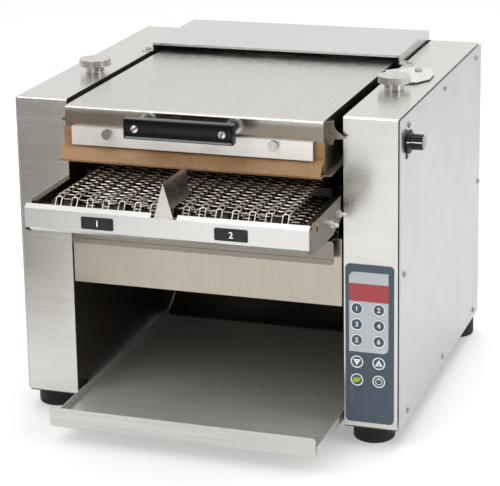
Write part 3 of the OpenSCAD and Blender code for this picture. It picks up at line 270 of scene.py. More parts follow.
def browned_wire(name):
    """Drawn stainless wire, bright where buns rub it, with brown and orange baked-on crumbs."""
    material, tree, shader = new_material(name)
    baked = marks(tree, (5, 5, 5), 3.0, 0.6)
    crumbs = marks(tree, (3.2, 3.2, 3.2), 2.0)
    drawn = marks(tree, (0.5, 0.5, 0.5))
    dirty = add(tree, "ShaderNodeMapRange", {0: baked, 1: 0.45, 2: 0.72, 4: 0.75}).outputs[0]
    crumbed = add(tree, "ShaderNodeMapRange", {0: crumbs, 1: 0.69, 2: 0.71}).outputs[0]
    body = add(
        tree,
        "ShaderNodeMix",
        {0: dirty, 6: linear("cfc8bc"), 7: linear("6c5c49")},
        data_type="RGBA",
    ).outputs[2]
    body = add(
        tree, "ShaderNodeMix", {0: crumbed, 6: body, 7: linear("a4572a")}, data_type="RGBA"
    ).outputs[2]
    tree.links.new(body, shader.inputs["Base Color"])
    bare = add(tree, "ShaderNodeMapRange", {0: crumbed, 3: 1.0, 4: 0.0}).outputs[0]
    tree.links.new(bare, shader.inputs["Metallic"])
    dull = add(tree, "ShaderNodeMapRange", {0: baked, 1: 0.3, 2: 0.7, 3: 0.3, 4: 0.5})
    tree.links.new(dull.outputs[0], shader.inputs["Roughness"])
    relief = add(
        tree, "ShaderNodeBump", {"Height": drawn, "Strength": 0.1, "Distance": 0.00005}
    ).outputs[0]
    tree.links.new(relief, shader.inputs["Normal"])
    return material


def moulded(name, code, rough, specular=0.35, texture=0.2, grit=0.45):
    """Moulded plastic or rubber, or a painted or lacquered skin: a fine spark-eroded or sprayed
    texture, paler patches worn by rubbing, and soft edges."""
    material, tree, shader = new_material(name)
    skin = marks(tree, (grit, grit, grit), 2.0)
    wear_and_fold_highlight = marks(tree, (16, 16, 16))
    paler = add(tree, "ShaderNodeMapRange", {0: wear_and_fold_highlight, 1: 0.4, 2: 0.75, 4: 0.6}).outputs[0]
    body = add(
        tree,
        "ShaderNodeMix",
        {0: paler, 6: linear(code), 7: toned(code, 1.35)},
        data_type="RGBA",
    ).outputs[2]
    tree.links.new(body, shader.inputs["Base Color"])
    sheen = add(
        tree, "ShaderNodeMapRange", {0: wear_and_fold_highlight, 1: 0.3, 2: 0.7, 3: rough * 1.12, 4: rough * 0.85}
    ).outputs[0]
    tree.links.new(sheen, shader.inputs["Roughness"])
    shader.inputs["Specular IOR Level"].default_value = specular
    rounded = add(tree, "ShaderNodeBevel", {"Radius": 0.0005}, samples=4).outputs[0]
    relief = add(
        tree,
        "ShaderNodeBump",
        {"Height": skin, "Strength": texture, "Distance": 0.00006, "Normal": rounded},
    ).outputs[0]
    tree.links.new(relief, shader.inputs["Normal"])
    return material


# Threads of the cloth are some 0.5 mm apart, drawn about 2 mm apart as finer ones don't show:
# a wave node repeats every 2 pi / 20 of its scaled coordinate
THREAD_SCALE = 1000 / 2 / math.pi


def coated_glass_cloth(name):
    """Release sheet of coated glass cloth: brown and satin, with a faint weave, and darker in
    clouds where it has been hot."""
    material, tree, shader = new_material(name)
    fibres = marks(tree, (0.7, 14, 14))
    scorched = marks(tree, (60, 20, 20), 4.0, 0.6)
    thread = add(
        tree,
        "ShaderNodeTexWave",
        {
            "Vector": add(tree, "ShaderNodeTexCoord").outputs["Object"],
            "Scale": THREAD_SCALE,
            "Distortion": 0.3,
        },
        wave_type="BANDS",
        bands_direction="X",
    ).outputs["Fac"]
    lined = add(tree, "ShaderNodeMapRange", {0: fibres, 1: 0.3, 2: 0.7}).outputs[0]
    body = add(
        tree,
        "ShaderNodeMix",
        {0: lined, 6: linear("946f4a"), 7: linear("a9845d")},
        data_type="RGBA",
    ).outputs[2]
    browned = add(tree, "ShaderNodeMapRange", {0: scorched, 1: 0.45, 2: 0.75, 4: 0.55})
    body = add(
        tree,
        "ShaderNodeMix",
        {0: browned.outputs[0], 6: body, 7: linear("7a5535")},
        data_type="RGBA",
    ).outputs[2]
    tree.links.new(body, shader.inputs["Base Color"])
    shader.inputs["Roughness"].default_value = 0.38
    shader.inputs["Specular IOR Level"].default_value = 0.3
    relief = add(
        tree, "ShaderNodeBump", {"Height": thread, "Strength": 0.12, "Distance": 0.0001}
    ).outputs[0]
    tree.links.new(relief, shader.inputs["Normal"])
    return material


def printed_film(name, code, rough=0.4):
    """Ink behind a clear matt polyester film: even colour with the film's fine grain over it."""
    material, tree, shader = new_material(name)
    grain = marks(tree, (0.4, 0.4, 0.4), 2.0)
    smeared = marks(tree, (22, 22, 22))
    body = add(
        tree,
        "ShaderNodeMix",
        {0: grain, 6: toned(code, 0.94), 7: toned(code, 1.03)},
        data_type="RGBA",
    ).outputs[2]
    tree.links.new(body, shader.inputs["Base Color"])
    sheen = add(
        tree, "ShaderNodeMapRange", {0: smeared, 1: 0.3, 2: 0.7, 3: rough * 0.9, 4: rough * 1.15}
    ).outputs[0]
    tree.links.new(sheen, shader.inputs["Roughness"])
    shader.inputs["Specular IOR Level"].default_value = 0.3
    relief = add(
        tree, "ShaderNodeBump", {"Height": grain, "Strength": 0.08, "Distance": 0.00003}
    ).outputs[0]
    tree.links.new(relief, shader.inputs["Normal"])
    return material


HOUSING_SHADE_TOP = 386  # painted shade: the housing's sheet is painted a darker straw brown below this height
KNOB_NECK_TOP = 396
MATERIALS = {
    "tower": brushed_steel("tower_sheet", "d2d0cb", 0.26, "across", 0.6, contrast=0.7),
    "panel": brushed_steel("side_panel_sheet", "c2c3c5", 0.34, "upright_side", 0.5, contrast=0.5),
    "housing": brushed_steel(
        "housing_sheet", "c6c3bd", 0.26, "upright", 0.6, contrast=0.8, heat=HOUSING_SHADE_TOP
    ),
    "cover": brushed_steel("cover_sheet", "cdccca", 0.26, "across", 0.5, contrast=0.5),
    "bar": brushed_steel("front_bar_sheet", "dad9d6", 0.32, "across", 0.6, fog=0.1, contrast=0.4),
    "clamp": brushed_steel("clamp_sheet", "ece9e3", 0.36, "across", 0.5, fog=0.3, contrast=0.6),
    "plate": brushed_steel("front_plate_sheet", "a9a294", 0.22, "upright", 0.6, contrast=0.8),
    "polished": brushed_steel("crumb_tray_sheet", "80796f", 0.14, "across", 0.3, contrast=0.5),
    "tray": brushed_steel(
        "landing_tray_sheet", "cfcdc9", 0.38, "across", 0.6, fog=0.65, contrast=1.8
    ),
    "dark": brushed_steel("bay_wall_sheet", "57514a", 0.40, "across", 0.4, fog=0.2, wear=0.4),
    "chute": brushed_steel("chute_sheet", "77716a", 0.34, "across", 0.5, fog=0.1, wear=0.3),
    "arm": brushed_steel("arm_sheet", "6d665b", 0.28, "along", 0.5, wear=0.2),
    "divider": brushed_steel("divider_sheet", "d8d5ce", 0.28, "upright", 0.5, wear=0.15),
    "platen": worked_metal("platen_cast", "34302c", 0.5),
    "heater": worked_metal("heater_sheath", "5d564d", 0.5, 0.3),
    "wire": browned_wire("belt_wire"),
    "shaft": worked_metal("shaft_steel", "8b8883", 0.3),
    "baked": worked_metal("baked_on_steel", "332f2b", 0.5, 0.3),
    "knob": worked_metal(
        "knob_aluminium", "cfccc5", 0.26, 0.12, 0.45, 0.7, neck=KNOB_NECK_TOP
    ),
    "collar": worked_metal("collar_steel", "b9b6b0", 0.20, 0.1, 0.1),
    "screw": worked_metal("screw_zinc", "dddbd7", 0.24, 0.1, 0.1, fog=0.3),
    "pin": worked_metal("pin_steel", "c0bdb7", 0.2, 0.1, 0.1),
    "head": worked_metal("screw_head_zinc", "aeaca8", 0.16, 0.1, 0.1, recess=True),
    "bright_head": worked_metal(
        "handle_screw_zinc", "d8d6d2", 0.25, 0.05, 0.1, recess=True, fog=0.3
    ),
    "bronze": worked_metal("bearing_bronze", "b08d57", 0.35),
    "rubber": moulded("foot_rubber", "1d1d1e", 0.62, 0.3, 0.35, 0.6),
    "black": moulded("dial_plastic", "141415", 0.38, 0.3, 0.12),
    "handle": moulded("handle_plastic", "070708", 0.2, 0.2, 0.05),
    # the handle's lower rim slope: paler grey as a painted highlight, and glossier
    "rim_painted_highlight": moulded("handle_rim_painted_highlight", "5f6468", 0.14, 1.0, 0.02),
    "motor": moulded("motor_paint", "4a4d50", 0.45, 0.35, 0.3, 0.8),
    "board": moulded("circuit_board", "2f6b45", 0.45, 0.35, 0.2, 1.0),
    "grey_cap": moulded("dial_cap_plastic", "a3a2a3", 0.42, 0.35, 0.1),
    "cloth": coated_glass_cloth("release_cloth"),
    "slate": printed_film("overlay_slate", "4c5a66"),
    "field": printed_film("overlay_field", "c2c8cc"),
    "window": printed_film("overlay_window", "b2494e", 0.25),
    "white": printed_film("overlay_white", "fdfdfc"),
    "leaf": printed_film("overlay_leaf", "98c838"),
    "led": printed_film("overlay_lamp", "7c878f"),
    "plate_black": printed_film("lane_plate_black", "252528", 0.45),
}

NODE_MATERIALS = {
    "tower": ("tower_shell_left", "tower_shell_right", "rear_panel"),
    "panel": ("side_panel_left", "side_panel_right"),
    "dark": ("inner_wall_left", "inner_wall_right", "base_frame"),
    "cover": ("rear_top_cover",),
    "plate": ("lower_front_plate",),
    "chute": ("return_chute",),
    "bar": ("conveyor_front_bar",),
    "arm": ("conveyor_arm_left", "conveyor_arm_right"),
    "divider": ("lane_divider",),
    "polished": ("crumb_tray",),
    "tray": ("landing_tray",),
    "housing": ("upper_housing", "height_pointers"),
    "clamp": ("clamp_bar",),
    "cloth": ("release_sheet",),
    "platen": ("lower_platen", "upper_platen"),
    "heater": ("lower_heater", "upper_heater"),
    "shaft": ("lift_brackets",),
    "baked": ("drive_shaft", "idler_shaft"),
    "knob": ("height_knob_left", "height_knob_right"),
    "pin": ("clamp_pins",),
    "screw": ("handle_bushings", "arm_studs", "latch_plate"),
    "collar": ("knob_collars",),
    "bronze": ("shaft_bushes",),
    "rubber": ("feet",),
    "black": ("cord_gland", "dial_switch"),
    "handle": ("handle_standoffs",),
    "motor": ("gearmotor",),
    "board": ("control_board",),
    "slate": ("keypad_overlay",),
}
KEYS = ("key_1", "key_2", "key_3", "key_4", "key_5", "key_6", "key_down", "key_up")
KEYS += ("key_standby", "key_power")


def dress(node, material):
    """Gives a CAD node's object one material."""
    slots = nodes[node].data.materials
    slots.clear()
    slots.append(material)


for key, names in NODE_MATERIALS.items():
    for name in names:
        dress(name, MATERIALS[key])
for name in KEYS:
    dress(name, MATERIALS["slate"])


# ---------- pieces ----------


def new_piece(name, mesh, body, materials, smooth=None):
    """Links a mesh as a piece that rides on a body."""
    piece = bpy.data.objects.new(name, mesh)
    bpy.context.scene.collection.objects.link(piece)
    for material in materials:
        mesh.materials.append(material)
    if smooth is not None:
        with_sharp_edges(mesh, smooth)
    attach(piece, body)
    return piece


def with_sharp_edges(mesh, degrees):
    """Smooth shading, with edges sharp above an angle."""
    mesh.polygons.foreach_set("use_smooth", [True] * len(mesh.polygons))
    mesh.set_sharp_from_angle(angle=math.radians(degrees))


def flat_outline(points, y, thickness=INK):
    """Closed thin slab of an (x, z) outline in mm, its front face at y - thickness."""
    bm = bmesh.new()
    front = [bm.verts.new(at(x, y - thickness, z)) for x, z in points]
    back = [bm.verts.new(at(x, y, z)) for x, z in points]
    bm.faces.new(front)
    bm.faces.new(list(reversed(back)))
    for i in range(len(points)):
        j = (i + 1) % len(points)
        bm.faces.new((front[j], front[i], back[i], back[j]))
    bmesh.ops.recalc_face_normals(bm, faces=bm.faces)
    return bm


def oblong(left, low, right, top):
    """Outline of a rectangle in (x, z)."""
    return [(left, low), (right, low), (right, top), (left, top)]


def arc(cx, cz, r, start, end, steps):
    """Points of an arc, in degrees, both ends included."""
    turn = [start + (end - start) * i / steps for i in range(steps + 1)]
    return [(cx + r * math.cos(math.radians(a)), cz + r * math.sin(math.radians(a))) for a in turn]


def ring_slab(cx, cz, outer, inner, y, thickness=INK, steps=48):
    """Thin flat ring in (x, z)."""
    bm = bmesh.new()
    loops = []
    for r, depth in ((outer, y - thickness), (inner, y - thickness), (inner, y), (outer, y)):
        loops.append([bm.verts.new(at(x, depth, z)) for x, z in arc(cx, cz, r, 0, 360, steps)[:-1]])
    for a, b in ((0, 1), (1, 2), (2, 3), (3, 0)):
        for i in range(steps):
            j = (i + 1) % steps
            bm.faces.new((loops[a][i], loops[a][j], loops[b][j], loops[b][i]))
    bmesh.ops.recalc_face_normals(bm, faces=bm.faces)
    return bm


def slab_piece(name, bms, body, material):
    """Joins slabs into one piece."""
    whole = bmesh.new()
    for bm in bms:
        part = bpy.data.meshes.new("part")
        bm.to_mesh(part)
        bm.free()
        whole.from_mesh(part)
        bpy.data.meshes.remove(part)
    mesh = bpy.data.meshes.new(name)
    whole.to_mesh(mesh)
    whole.free()
    return new_piece(name, mesh, body, [material])


def numeral(name, text, cx, cz, height, y, body, thickness=INK):
    """A plain numeral as a thin solid, centred on a point of a face that looks to -Y."""
    curve = bpy.data.curves.new(name, "FONT")
    curve.body = text
    curve.size = height * MM
    curve.align_x = "CENTER"
    curve.align_y = "CENTER"
    curve.extrude = thickness / 2 * MM
    curve.offset = height * 0.016 * MM
    curve.resolution_u = 4
    source = bpy.data.objects.new(name + "_curve", curve)
    bpy.context.scene.collection.objects.link(source)
    mesh = bpy.data.meshes.new_from_object(source)
    bpy.data.objects.remove(source)
    lows = [min(v.co[i] for v in mesh.vertices) for i in (0, 1)]
    highs = [max(v.co[i] for v in mesh.vertices) for i in (0, 1)]
    centre = Vector(((lows[0] + highs[0]) / 2, (lows[1] + highs[1]) / 2, 0))
    stand = Matrix.Translation(at(cx, y - thickness / 2, cz)) @ Matrix.Rotation(
        math.radians(90), 4, "X"
    )
    mesh.transform(stand @ Matrix.Translation(-centre))
    return new_piece(name, mesh, body, [MATERIALS["white"]])


# Overlay print: light field with two round corners, red window, three lamp rings
FIELD_LEFT, FIELD_RIGHT, FIELD_TOP, FIELD_LOW = 171.3, 216.8, 210.0, 115.5
FIELD_INK = 0.06
WINDOW_LOW, WINDOW_TOP = 175.6, 196.4
LAMP_X, LAMP_Z = 174.5, (70.2, 63.4, 56.6)
LAMP_R, LAMP_INNER_R = 2.4, 2.0
CORNER = 7.0
field = [(FIELD_LEFT, FIELD_LOW)]
field += arc(FIELD_RIGHT - CORNER, FIELD_LOW + CORNER, CORNER, -90, 0, 8)
field += [(FIELD_RIGHT, FIELD_TOP)]
field += arc(FIELD_LEFT + CORNER, FIELD_TOP - CORNER, CORNER, 90, 180, 8)
window = oblong(FIELD_LEFT, WINDOW_LOW, FIELD_RIGHT, WINDOW_TOP)
lamps = [ring_slab(LAMP_X, z, LAMP_R, LAMP_INNER_R, KEYPAD_FACE_Y, THIN_INK, 24) for z in LAMP_Z]
for name, slabs, ink in (
    ("overlay_field", [flat_outline(field, KEYPAD_FACE_Y, FIELD_INK)], "field"),
    ("overlay_window", [flat_outline(window, KEYPAD_FACE_Y - FIELD_INK, THIN_INK)], "window"),
    ("overlay_lamps", lamps, "led"),
):
    slab_piece(name, slabs, "base", MATERIALS[ink])

# Key prints: a ring on every key, and a numeral or a sign inside it
KEY_RING_R, KEY_RING_INNER_R = 7.3, 6.1
TIP_H, BASE_H, BASE_HALF_W = 4.4, 3.0, 4.4  # triangle of the up and down keys
BAR_LONG, BAR_THIN = 1.5, 0.35  # half sizes of its minus or plus
POWER_R, POWER_INNER_R = 4.0, 3.3
STROKE_LOW, STROKE_TOP, STROKE_HALF_W, STROKE_INK = 1.2, 5.0, 0.4, 0.13
LEAF = ((-5.2, -1.2), (-4.6, -3.2), (-2.0, -3.6), (1.4, -2.6), (3.8, -0.2))
LEAF += ((5.4, 2.4), (2.2, 2.2), (-0.4, 2.9), (-3.2, 2.2), (-4.8, 0.6))
NUMERAL_H = 8.0
for index, key in enumerate(KEYS):
    cx, cz = KEY_X[index % 2], KEY_Z[index // 2]
    prints = [ring_slab(cx, cz, KEY_RING_R, KEY_RING_INNER_R, KEY_FACE_Y)]
    if key in ("key_down", "key_up"):
        way = 1 if key == "key_up" else -1
        base = cz - BASE_H * way
        tip = [(cx, cz + TIP_H * way), (cx - BASE_HALF_W * way, base), (cx + BASE_HALF_W * way, base)]
        prints.append(flat_outline(tip, KEY_FACE_Y))
        mid = cz - way
        bars = [oblong(cx - BAR_LONG, mid - BAR_THIN, cx + BAR_LONG, mid + BAR_THIN)]
        if key == "key_up":
            bars.append(oblong(cx - BAR_THIN, mid - BAR_LONG, cx + BAR_THIN, mid + BAR_LONG))
        signs = [flat_outline(bar, KEY_FACE_Y - INK, THIN_INK) for bar in bars]
        slab_piece(key + "_sign", signs, key, MATERIALS["slate"])
    elif key == "key_power":
        prints.append(ring_slab(cx, cz, POWER_R, POWER_INNER_R, KEY_FACE_Y))
        low, top = cz + STROKE_LOW, cz + STROKE_TOP
        stroke = oblong(cx - STROKE_HALF_W, low, cx + STROKE_HALF_W, top)
        prints.append(flat_outline(stroke, KEY_FACE_Y, STROKE_INK))
    elif key == "key_standby":
        leaf = [(cx + dx, cz + dz) for dx, dz in LEAF]
        leaf_slab = flat_outline(leaf, KEY_FACE_Y)
        slab_piece("key_standby_leaf", [leaf_slab], key, MATERIALS["leaf"])
    else:
        numeral(key + "_numeral", key[-1], cx, cz, NUMERAL_H, KEY_FACE_Y, key)
    slab_piece(key + "_print", prints, key, MATERIALS["white"])

# Plates of the two lanes on the front bar, with round corners and a plain number
PLATE_X, PLATE_Z, PLATE_HALF_W, PLATE_HALF_H, PLATE_R = 77.0, 282.3, 18.9, 7.0, 1.8
PLATE_BACK_Y, PLATE_FACE_Y = -128.0, -128.5
LANE_NUMBER_H, LANE_NUMBER_INK = 10.0, 0.08


def rounded_plate(cx):
    """Outline of a lane plate about a middle."""
    right, top = PLATE_HALF_W - PLATE_R, PLATE_HALF_H - PLATE_R
    points = []
    for sx, sz, start in ((1, 1, 0), (-1, 1, 90), (-1, -1, 180), (1, -1, 270)):
        points += arc(cx + sx * right, PLATE_Z + sz * top, PLATE_R, start, start + 90, 6)
    return points


PLATE_T = PLATE_BACK_Y - PLATE_FACE_Y
pair = [flat_outline(rounded_plate(side * PLATE_X), PLATE_BACK_Y, PLATE_T) for side in (-1, 1)]
plates = slab_piece(
    "lane_plate_pair", pair, "base", MATERIALS["plate_black"]
)
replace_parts(plates, "lane_plates")
for number, side in (("1", -1), ("2", 1)):
    numeral(
        "lane_number_" + number,
        number,
        side * PLATE_X,
        PLATE_Z,
        LANE_NUMBER_H,
        PLATE_FACE_Y,
        "base",
        LANE_NUMBER_INK,
    )


# ---------- repeated pieces ----------


def node_group(name, inputs):
    """A geometry node group with named inputs and one geometry output."""
    group = bpy.data.node_groups.new(name, "GeometryNodeTree")
    group.interface.new_socket("Geometry", in_out="INPUT", socket_type="NodeSocketGeometry")
    for label, kind, value in inputs:
        made = group.interface.new_socket(label, in_out="INPUT", socket_type=kind)
        if value is not None:
            made.default_value = value
    group.interface.new_socket("Geometry", in_out="OUTPUT", socket_type="NodeSocketGeometry")
    return group, add(group, "NodeGroupInput"), add(group, "NodeGroupOutput")


def run_group(name, base_mesh, group, values):
    """Runs a node group on a mesh and returns the resulting mesh."""
    holder = bpy.data.objects.new(name + "_source", base_mesh)
    bpy.context.scene.collection.objects.link(holder)
    modifier = holder.modifiers.new("pattern", "NODES")
    modifier.node_group = group
    for item in group.interface.items_tree:
        if item.in_out == "INPUT" and item.name in values:
            modifier[item.identifier] = values[item.name]
    graph = bpy.context.evaluated_depsgraph_get()
    mesh = bpy.data.meshes.new_from_object(holder.evaluated_get(graph), depsgraph=graph)
    mesh.name = name
    bpy.data.objects.remove(holder)
    return mesh


def finish_group(group, geometry, end, material):
    """Realizes the instances and gives them one material."""
    real = add(group, "GeometryNodeRealizeInstances", {0: geometry}).outputs[0]
    made = add(group, "GeometryNodeSetMaterial", {0: real, "Material": material}).outputs[0]
    group.links.new(made, end.inputs[0])


# The wire belt: one bent strand in each row, hooked over the next one, set along the loop
BELT_ROWS = 66
BELT_START = 0.42  # where the first row stands, as a share of a row
WIRE_R = 0.75
ZIGZAG = 18.75  # one repeat of a strand across the belt
NEAR_W = 9.4  # the long side of a strand, and its short side that hooks over the next strand
FAR_W = 6.6
SHOULDER = 3.4  # the legs lean in over this length
BEND = 1.3
HOOK = 1.5  # how far the short side reaches past the next strand
LAP = 0.55  # a strand's long side lies this much below the loop's line, its short side above
LOOP_R = BELT_TURN_R - 1.5
LOOP_FLAT = BELT_REAR_Y - BELT_FRONT_Y
ROW_PITCH = (2 * LOOP_FLAT + 2 * math.pi * LOOP_R) / BELT_ROWS


def strand_path():
    """Middle line of a strand: bottle-shaped loops side by side."""
    repeats = int(2 * (BELT_HALF_W - WIRE_R) // ZIGZAG)
    far = ROW_PITCH + HOOK
    neck = (ZIGZAG - FAR_W) / 2
    points = []
    for i in range(repeats):
        x = (i - repeats / 2) * ZIGZAG
        foot = NEAR_W / 2
        side = [
            (foot - BEND, 0, -LAP),
            (foot, BEND * 0.6, -LAP),
            (neck, SHOULDER, -LAP * 0.3),
            (neck, far - BEND, LAP),
            (neck + BEND, far, LAP),
        ]
        points += [(x + dx, y, z) for dx, y, z in side]
        points += [(x + ZIGZAG - dx, y, z) for dx, y, z in reversed(side)]
    return [Vector(p) * MM for p in points]


def loop_place(travel):
    """Point of the loop at a length from the start of its upper run: its y and z in mm."""
    half = math.pi * LOOP_R
    travel %= 2 * (LOOP_FLAT + half)
    if travel < LOOP_FLAT:
        return BELT_FRONT_Y + travel, BELT_Z + LOOP_R
    if travel < LOOP_FLAT + half:
        turn = (travel - LOOP_FLAT) / LOOP_R
        return BELT_REAR_Y + LOOP_R * math.sin(turn), BELT_Z + LOOP_R * math.cos(turn)
    if travel < 2 * LOOP_FLAT + half:
        return BELT_REAR_Y - (travel - LOOP_FLAT - half), BELT_Z - LOOP_R
    turn = (travel - 2 * LOOP_FLAT - half) / LOOP_R
    return BELT_FRONT_Y - LOOP_R * math.sin(turn), BELT_Z - LOOP_R * math.cos(turn)


def polyline(name, points):
    """An object whose mesh is a single line of edges."""
    mesh = bpy.data.meshes.new(name)
    mesh.from_pydata(points, [(i, i + 1) for i in range(len(points) - 1)], [])
    made = bpy.data.objects.new(name, mesh)
    bpy.context.scene.collection.objects.link(made)
    return made


def belt_rows():
    """Points of the rows, each with the turn that lays its strand along the loop's chord."""
    mesh = bpy.data.meshes.new("belt_rows")
    places = [loop_place((i + BELT_START) * ROW_PITCH) for i in range(BELT_ROWS + 1)]
    mesh.from_pydata([at(0, y, z) for y, z in places[:-1]], [], [])
    mesh.attributes.new("lean", "FLOAT", "POINT")
    for i, (here, ahead) in enumerate(zip(places, places[1:])):
        lean = math.atan2(ahead[1] - here[1], ahead[0] - here[0])
        mesh.attributes["lean"].data[i].value = lean
    return mesh


def belt_tree():
    """Sweeps the strand's line with round wire and sets a copy on every row."""
    tree, begin, stop = node_group(
        "belt_strands",
        [
            ("Strand line", "NodeSocketObject", None),
            ("Wire radius", "NodeSocketFloat", WIRE_R * MM),
            ("Wire sides", "NodeSocketInt", 6),
        ],
    )
    line = add(tree, "GeometryNodeObjectInfo", {"Object": begin.outputs["Strand line"]})
    curve = add(tree, "GeometryNodeMeshToCurve", {0: line.outputs["Geometry"]}).outputs[0]
    section = add(
        tree,
        "GeometryNodeCurvePrimitiveCircle",
        {"Resolution": begin.outputs["Wire sides"], "Radius": begin.outputs["Wire radius"]},
    ).outputs[0]
    wire = add(tree, "GeometryNodeCurveToMesh", {0: curve, 1: section, "Fill Caps": True})
    lean = add(tree, "GeometryNodeInputNamedAttribute", {"Name": "lean"}, data_type="FLOAT")
    turn = add(tree, "FunctionNodeAxisAngleToRotation", {"Angle": lean.outputs[0]})
    turn.inputs["Axis"].default_value = (1, 0, 0)
    rows = add(
        tree,
        "GeometryNodeInstanceOnPoints",
        {
            "Points": begin.outputs["Geometry"],
            "Instance": wire.outputs[0],
            "Rotation": turn.outputs[0],
        },
    ).outputs[0]
    finish_group(tree, rows, stop, MATERIALS["wire"])
    return tree


strand_line = polyline("strand_line", strand_path())
belt_mesh = run_group("belt_wires", belt_rows(), belt_tree(), {"Strand line": strand_line})
bpy.data.objects.remove(strand_line)
belt = new_piece("belt_wires", belt_mesh, "base", [], 40)
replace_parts(belt, "wire_belt")


# Screws with a cross recess or a slot, set by direction
HEAD_D, HEAD_H, RECESS_DEPTH, RECESS_HALF_W, CROSS_R = 7.6, 2.4, 1.1, 0.7, 2.5
SHANK_R, SHANK_H = 2.0, 5.0


def screw_head(slotted=False):
    """A domed head with a cross recess or a slot, standing along +Z, with its shank below."""
    radius, height, depth = HEAD_D / 2, HEAD_H, RECESS_DEPTH
    rings, steps = 14, 40
    bm = bmesh.new()
    # the recess layer marks where the screw material paints shade into the recess
    recess = bm.verts.layers.float.new("recess")
    top = bm.verts.new((0, 0, (height - depth) * MM))
    top[recess] = 1.0
    last = None
    for ring in range(1, rings + 1):
        share = ring / rings
        r = radius * math.sin(share * math.pi / 2)
        row = []
        for k in range(steps):
            a = 2 * math.pi * k / steps
            x, y = r * math.cos(a), r * math.sin(a)
            dome = height * (0.35 + 0.65 * math.sqrt(max(0.0, 1 - (r / radius) ** 2)))
            arm = abs(y) if slotted else min(abs(x), abs(y))
            reach = radius + 0.4 if slotted else CROSS_R
            inside = max(0.0, min(1.0, (RECESS_HALF_W - arm) / 0.25))
            inside *= max(0.0, min(1.0, (reach - r) / 0.5))
            made = bm.verts.new((x * MM, y * MM, (dome - depth * inside) * MM))
            made[recess] = inside
            row.append(made)
        if last is None:
            for k in range(steps):
                bm.faces.new((top, row[k], row[(k + 1) % steps]))
        else:
            for k in range(steps):
                m = (k + 1) % steps
                bm.faces.new((last[k], row[k], row[m], last[m]))
        last = row
    for r, z in ((radius, 0.0), (SHANK_R, 0.0), (SHANK_R, -SHANK_H)):
        row = [
            bm.verts.new((r * math.cos(a) * MM, r * math.sin(a) * MM, z * MM))
            for a in (2 * math.pi * k / steps for k in range(steps))
        ]
        for k in range(steps):
            m = (k + 1) % steps
            bm.faces.new((last[k], row[k], row[m], last[m]))
        last = row
    bm.faces.new(list(reversed(last)))
    bmesh.ops.recalc_face_normals(bm, faces=bm.faces)
    return bm


def foot_bolt():
    """A foot bolt with its washer head and a nut, standing along +Z, its head's underside at 0."""
    bm = bmesh.new()
    head, shank, nut = (5.5, -4.0, 0.0, 40), (3.0, 0.0, 22.0, 32), (5.5, 15.0, 20.0, 6)
    for radius, low, high, steps in (head, shank, nut):
        made = bmesh.ops.create_cone(
            bm,
            cap_ends=True,
            segments=steps,
            radius1=radius * MM,
            radius2=radius * MM,
            depth=(high - low) * MM,
        )
        bmesh.ops.translate(bm, verts=made["verts"], vec=(0, 0, (high + low) / 2 * MM))
    return bm


def scatter(name, places, source_bm, material, size=1.0):
    """Copies of a source at places [(point, direction, spin)], made by a node group."""
    source_mesh = bpy.data.meshes.new(name + "_unit")
    source_bm.to_mesh(source_mesh)
    source_bm.free()
    unit = bpy.data.objects.new(name + "_unit", source_mesh)
    bpy.context.scene.collection.objects.link(unit)
    points = bpy.data.meshes.new(name + "_points")
    points.from_pydata([p for p, _, _ in places], [], [])
    points.attributes.new("facing", "FLOAT_VECTOR", "POINT")
    points.attributes.new("spin", "FLOAT", "POINT")
    for i, (_, direction, angle) in enumerate(places):
        points.attributes["facing"].data[i].vector = direction
        points.attributes["spin"].data[i].value = angle
    made, begin, stop = node_group(
        name, [("Unit", "NodeSocketObject", None), ("Size", "NodeSocketFloat", size)]
    )
    info = add(made, "GeometryNodeObjectInfo", {"Object": begin.outputs["Unit"]})
    way = add(made, "GeometryNodeInputNamedAttribute", {"Name": "facing"}, data_type="FLOAT_VECTOR")
    angle = add(made, "GeometryNodeInputNamedAttribute", {"Name": "spin"}, data_type="FLOAT")
    aimed = add(made, "FunctionNodeAlignRotationToVector", {"Vector": way.outputs[0]}, axis="Z")
    about = add(made, "FunctionNodeAxisAngleToRotation", {"Angle": angle.outputs[0]})
    about.inputs["Axis"].default_value = (0, 0, 1)
    turned = add(
        made,
        "FunctionNodeRotateRotation",
        {0: aimed.outputs[0], 1: about.outputs[0]},
        rotation_space="LOCAL",
    )
    copies = add(
        made,
        "GeometryNodeInstanceOnPoints",
        {
            "Points": begin.outputs["Geometry"],
            "Instance": info.outputs["Geometry"],
            "Rotation": turned.outputs[0],
            "Scale": begin.outputs["Size"],
        },
    ).outputs[0]
    finish_group(made, copies, stop, material)
    mesh = run_group(name, points, made, {"Unit": unit})
    bpy.data.objects.remove(unit)
    return mesh


PANEL_ROWS = [(y, z) for y in (36.0, 214.0, 390.0) for z in (373.4, 36.0)]
PANEL_ROWS += [(16.3, 206.0), (410.3, 206.0)]
PANEL_FACE_X = 230
COVER_SCREW = (171, 277.5, BODY_TOP + 1.2)
PLATE_SCREW = (108, 14, 167)
FEET = ((-205, 35), (191, 35), (-205, 398), (205, 398))
FOOT_BOLT_Z = 10
HANDLE_HEAD_X, HANDLE_HEAD_Y, HANDLE_HEAD_Z, HANDLE_HEAD_D = 50.8, -76.1, 377.5, 8.8
screw_places = []
for side in (-1, 1):
    for index, (y, z) in enumerate(PANEL_ROWS):
        place = at(side * PANEL_FACE_X, y, z)
        screw_places.append((place, (side, 0, 0), 0.6 * index + 0.3 * side))
    screw_places.append((at(side * COVER_SCREW[0], *COVER_SCREW[1:]), (0, 0, 1), 0.4 * side))
    screw_places.append((at(side * PLATE_SCREW[0], *PLATE_SCREW[1:]), (0, 0, -1), 0.2))
heads = scatter("case_screw_heads", screw_places, screw_head(), MATERIALS["head"])
bolt_places = [(at(x, y, FOOT_BOLT_Z), (0, 0, 1), 0.3 * i) for i, (x, y) in enumerate(FEET)]
bolts = scatter("foot_bolts", bolt_places, foot_bolt(), MATERIALS["screw"])
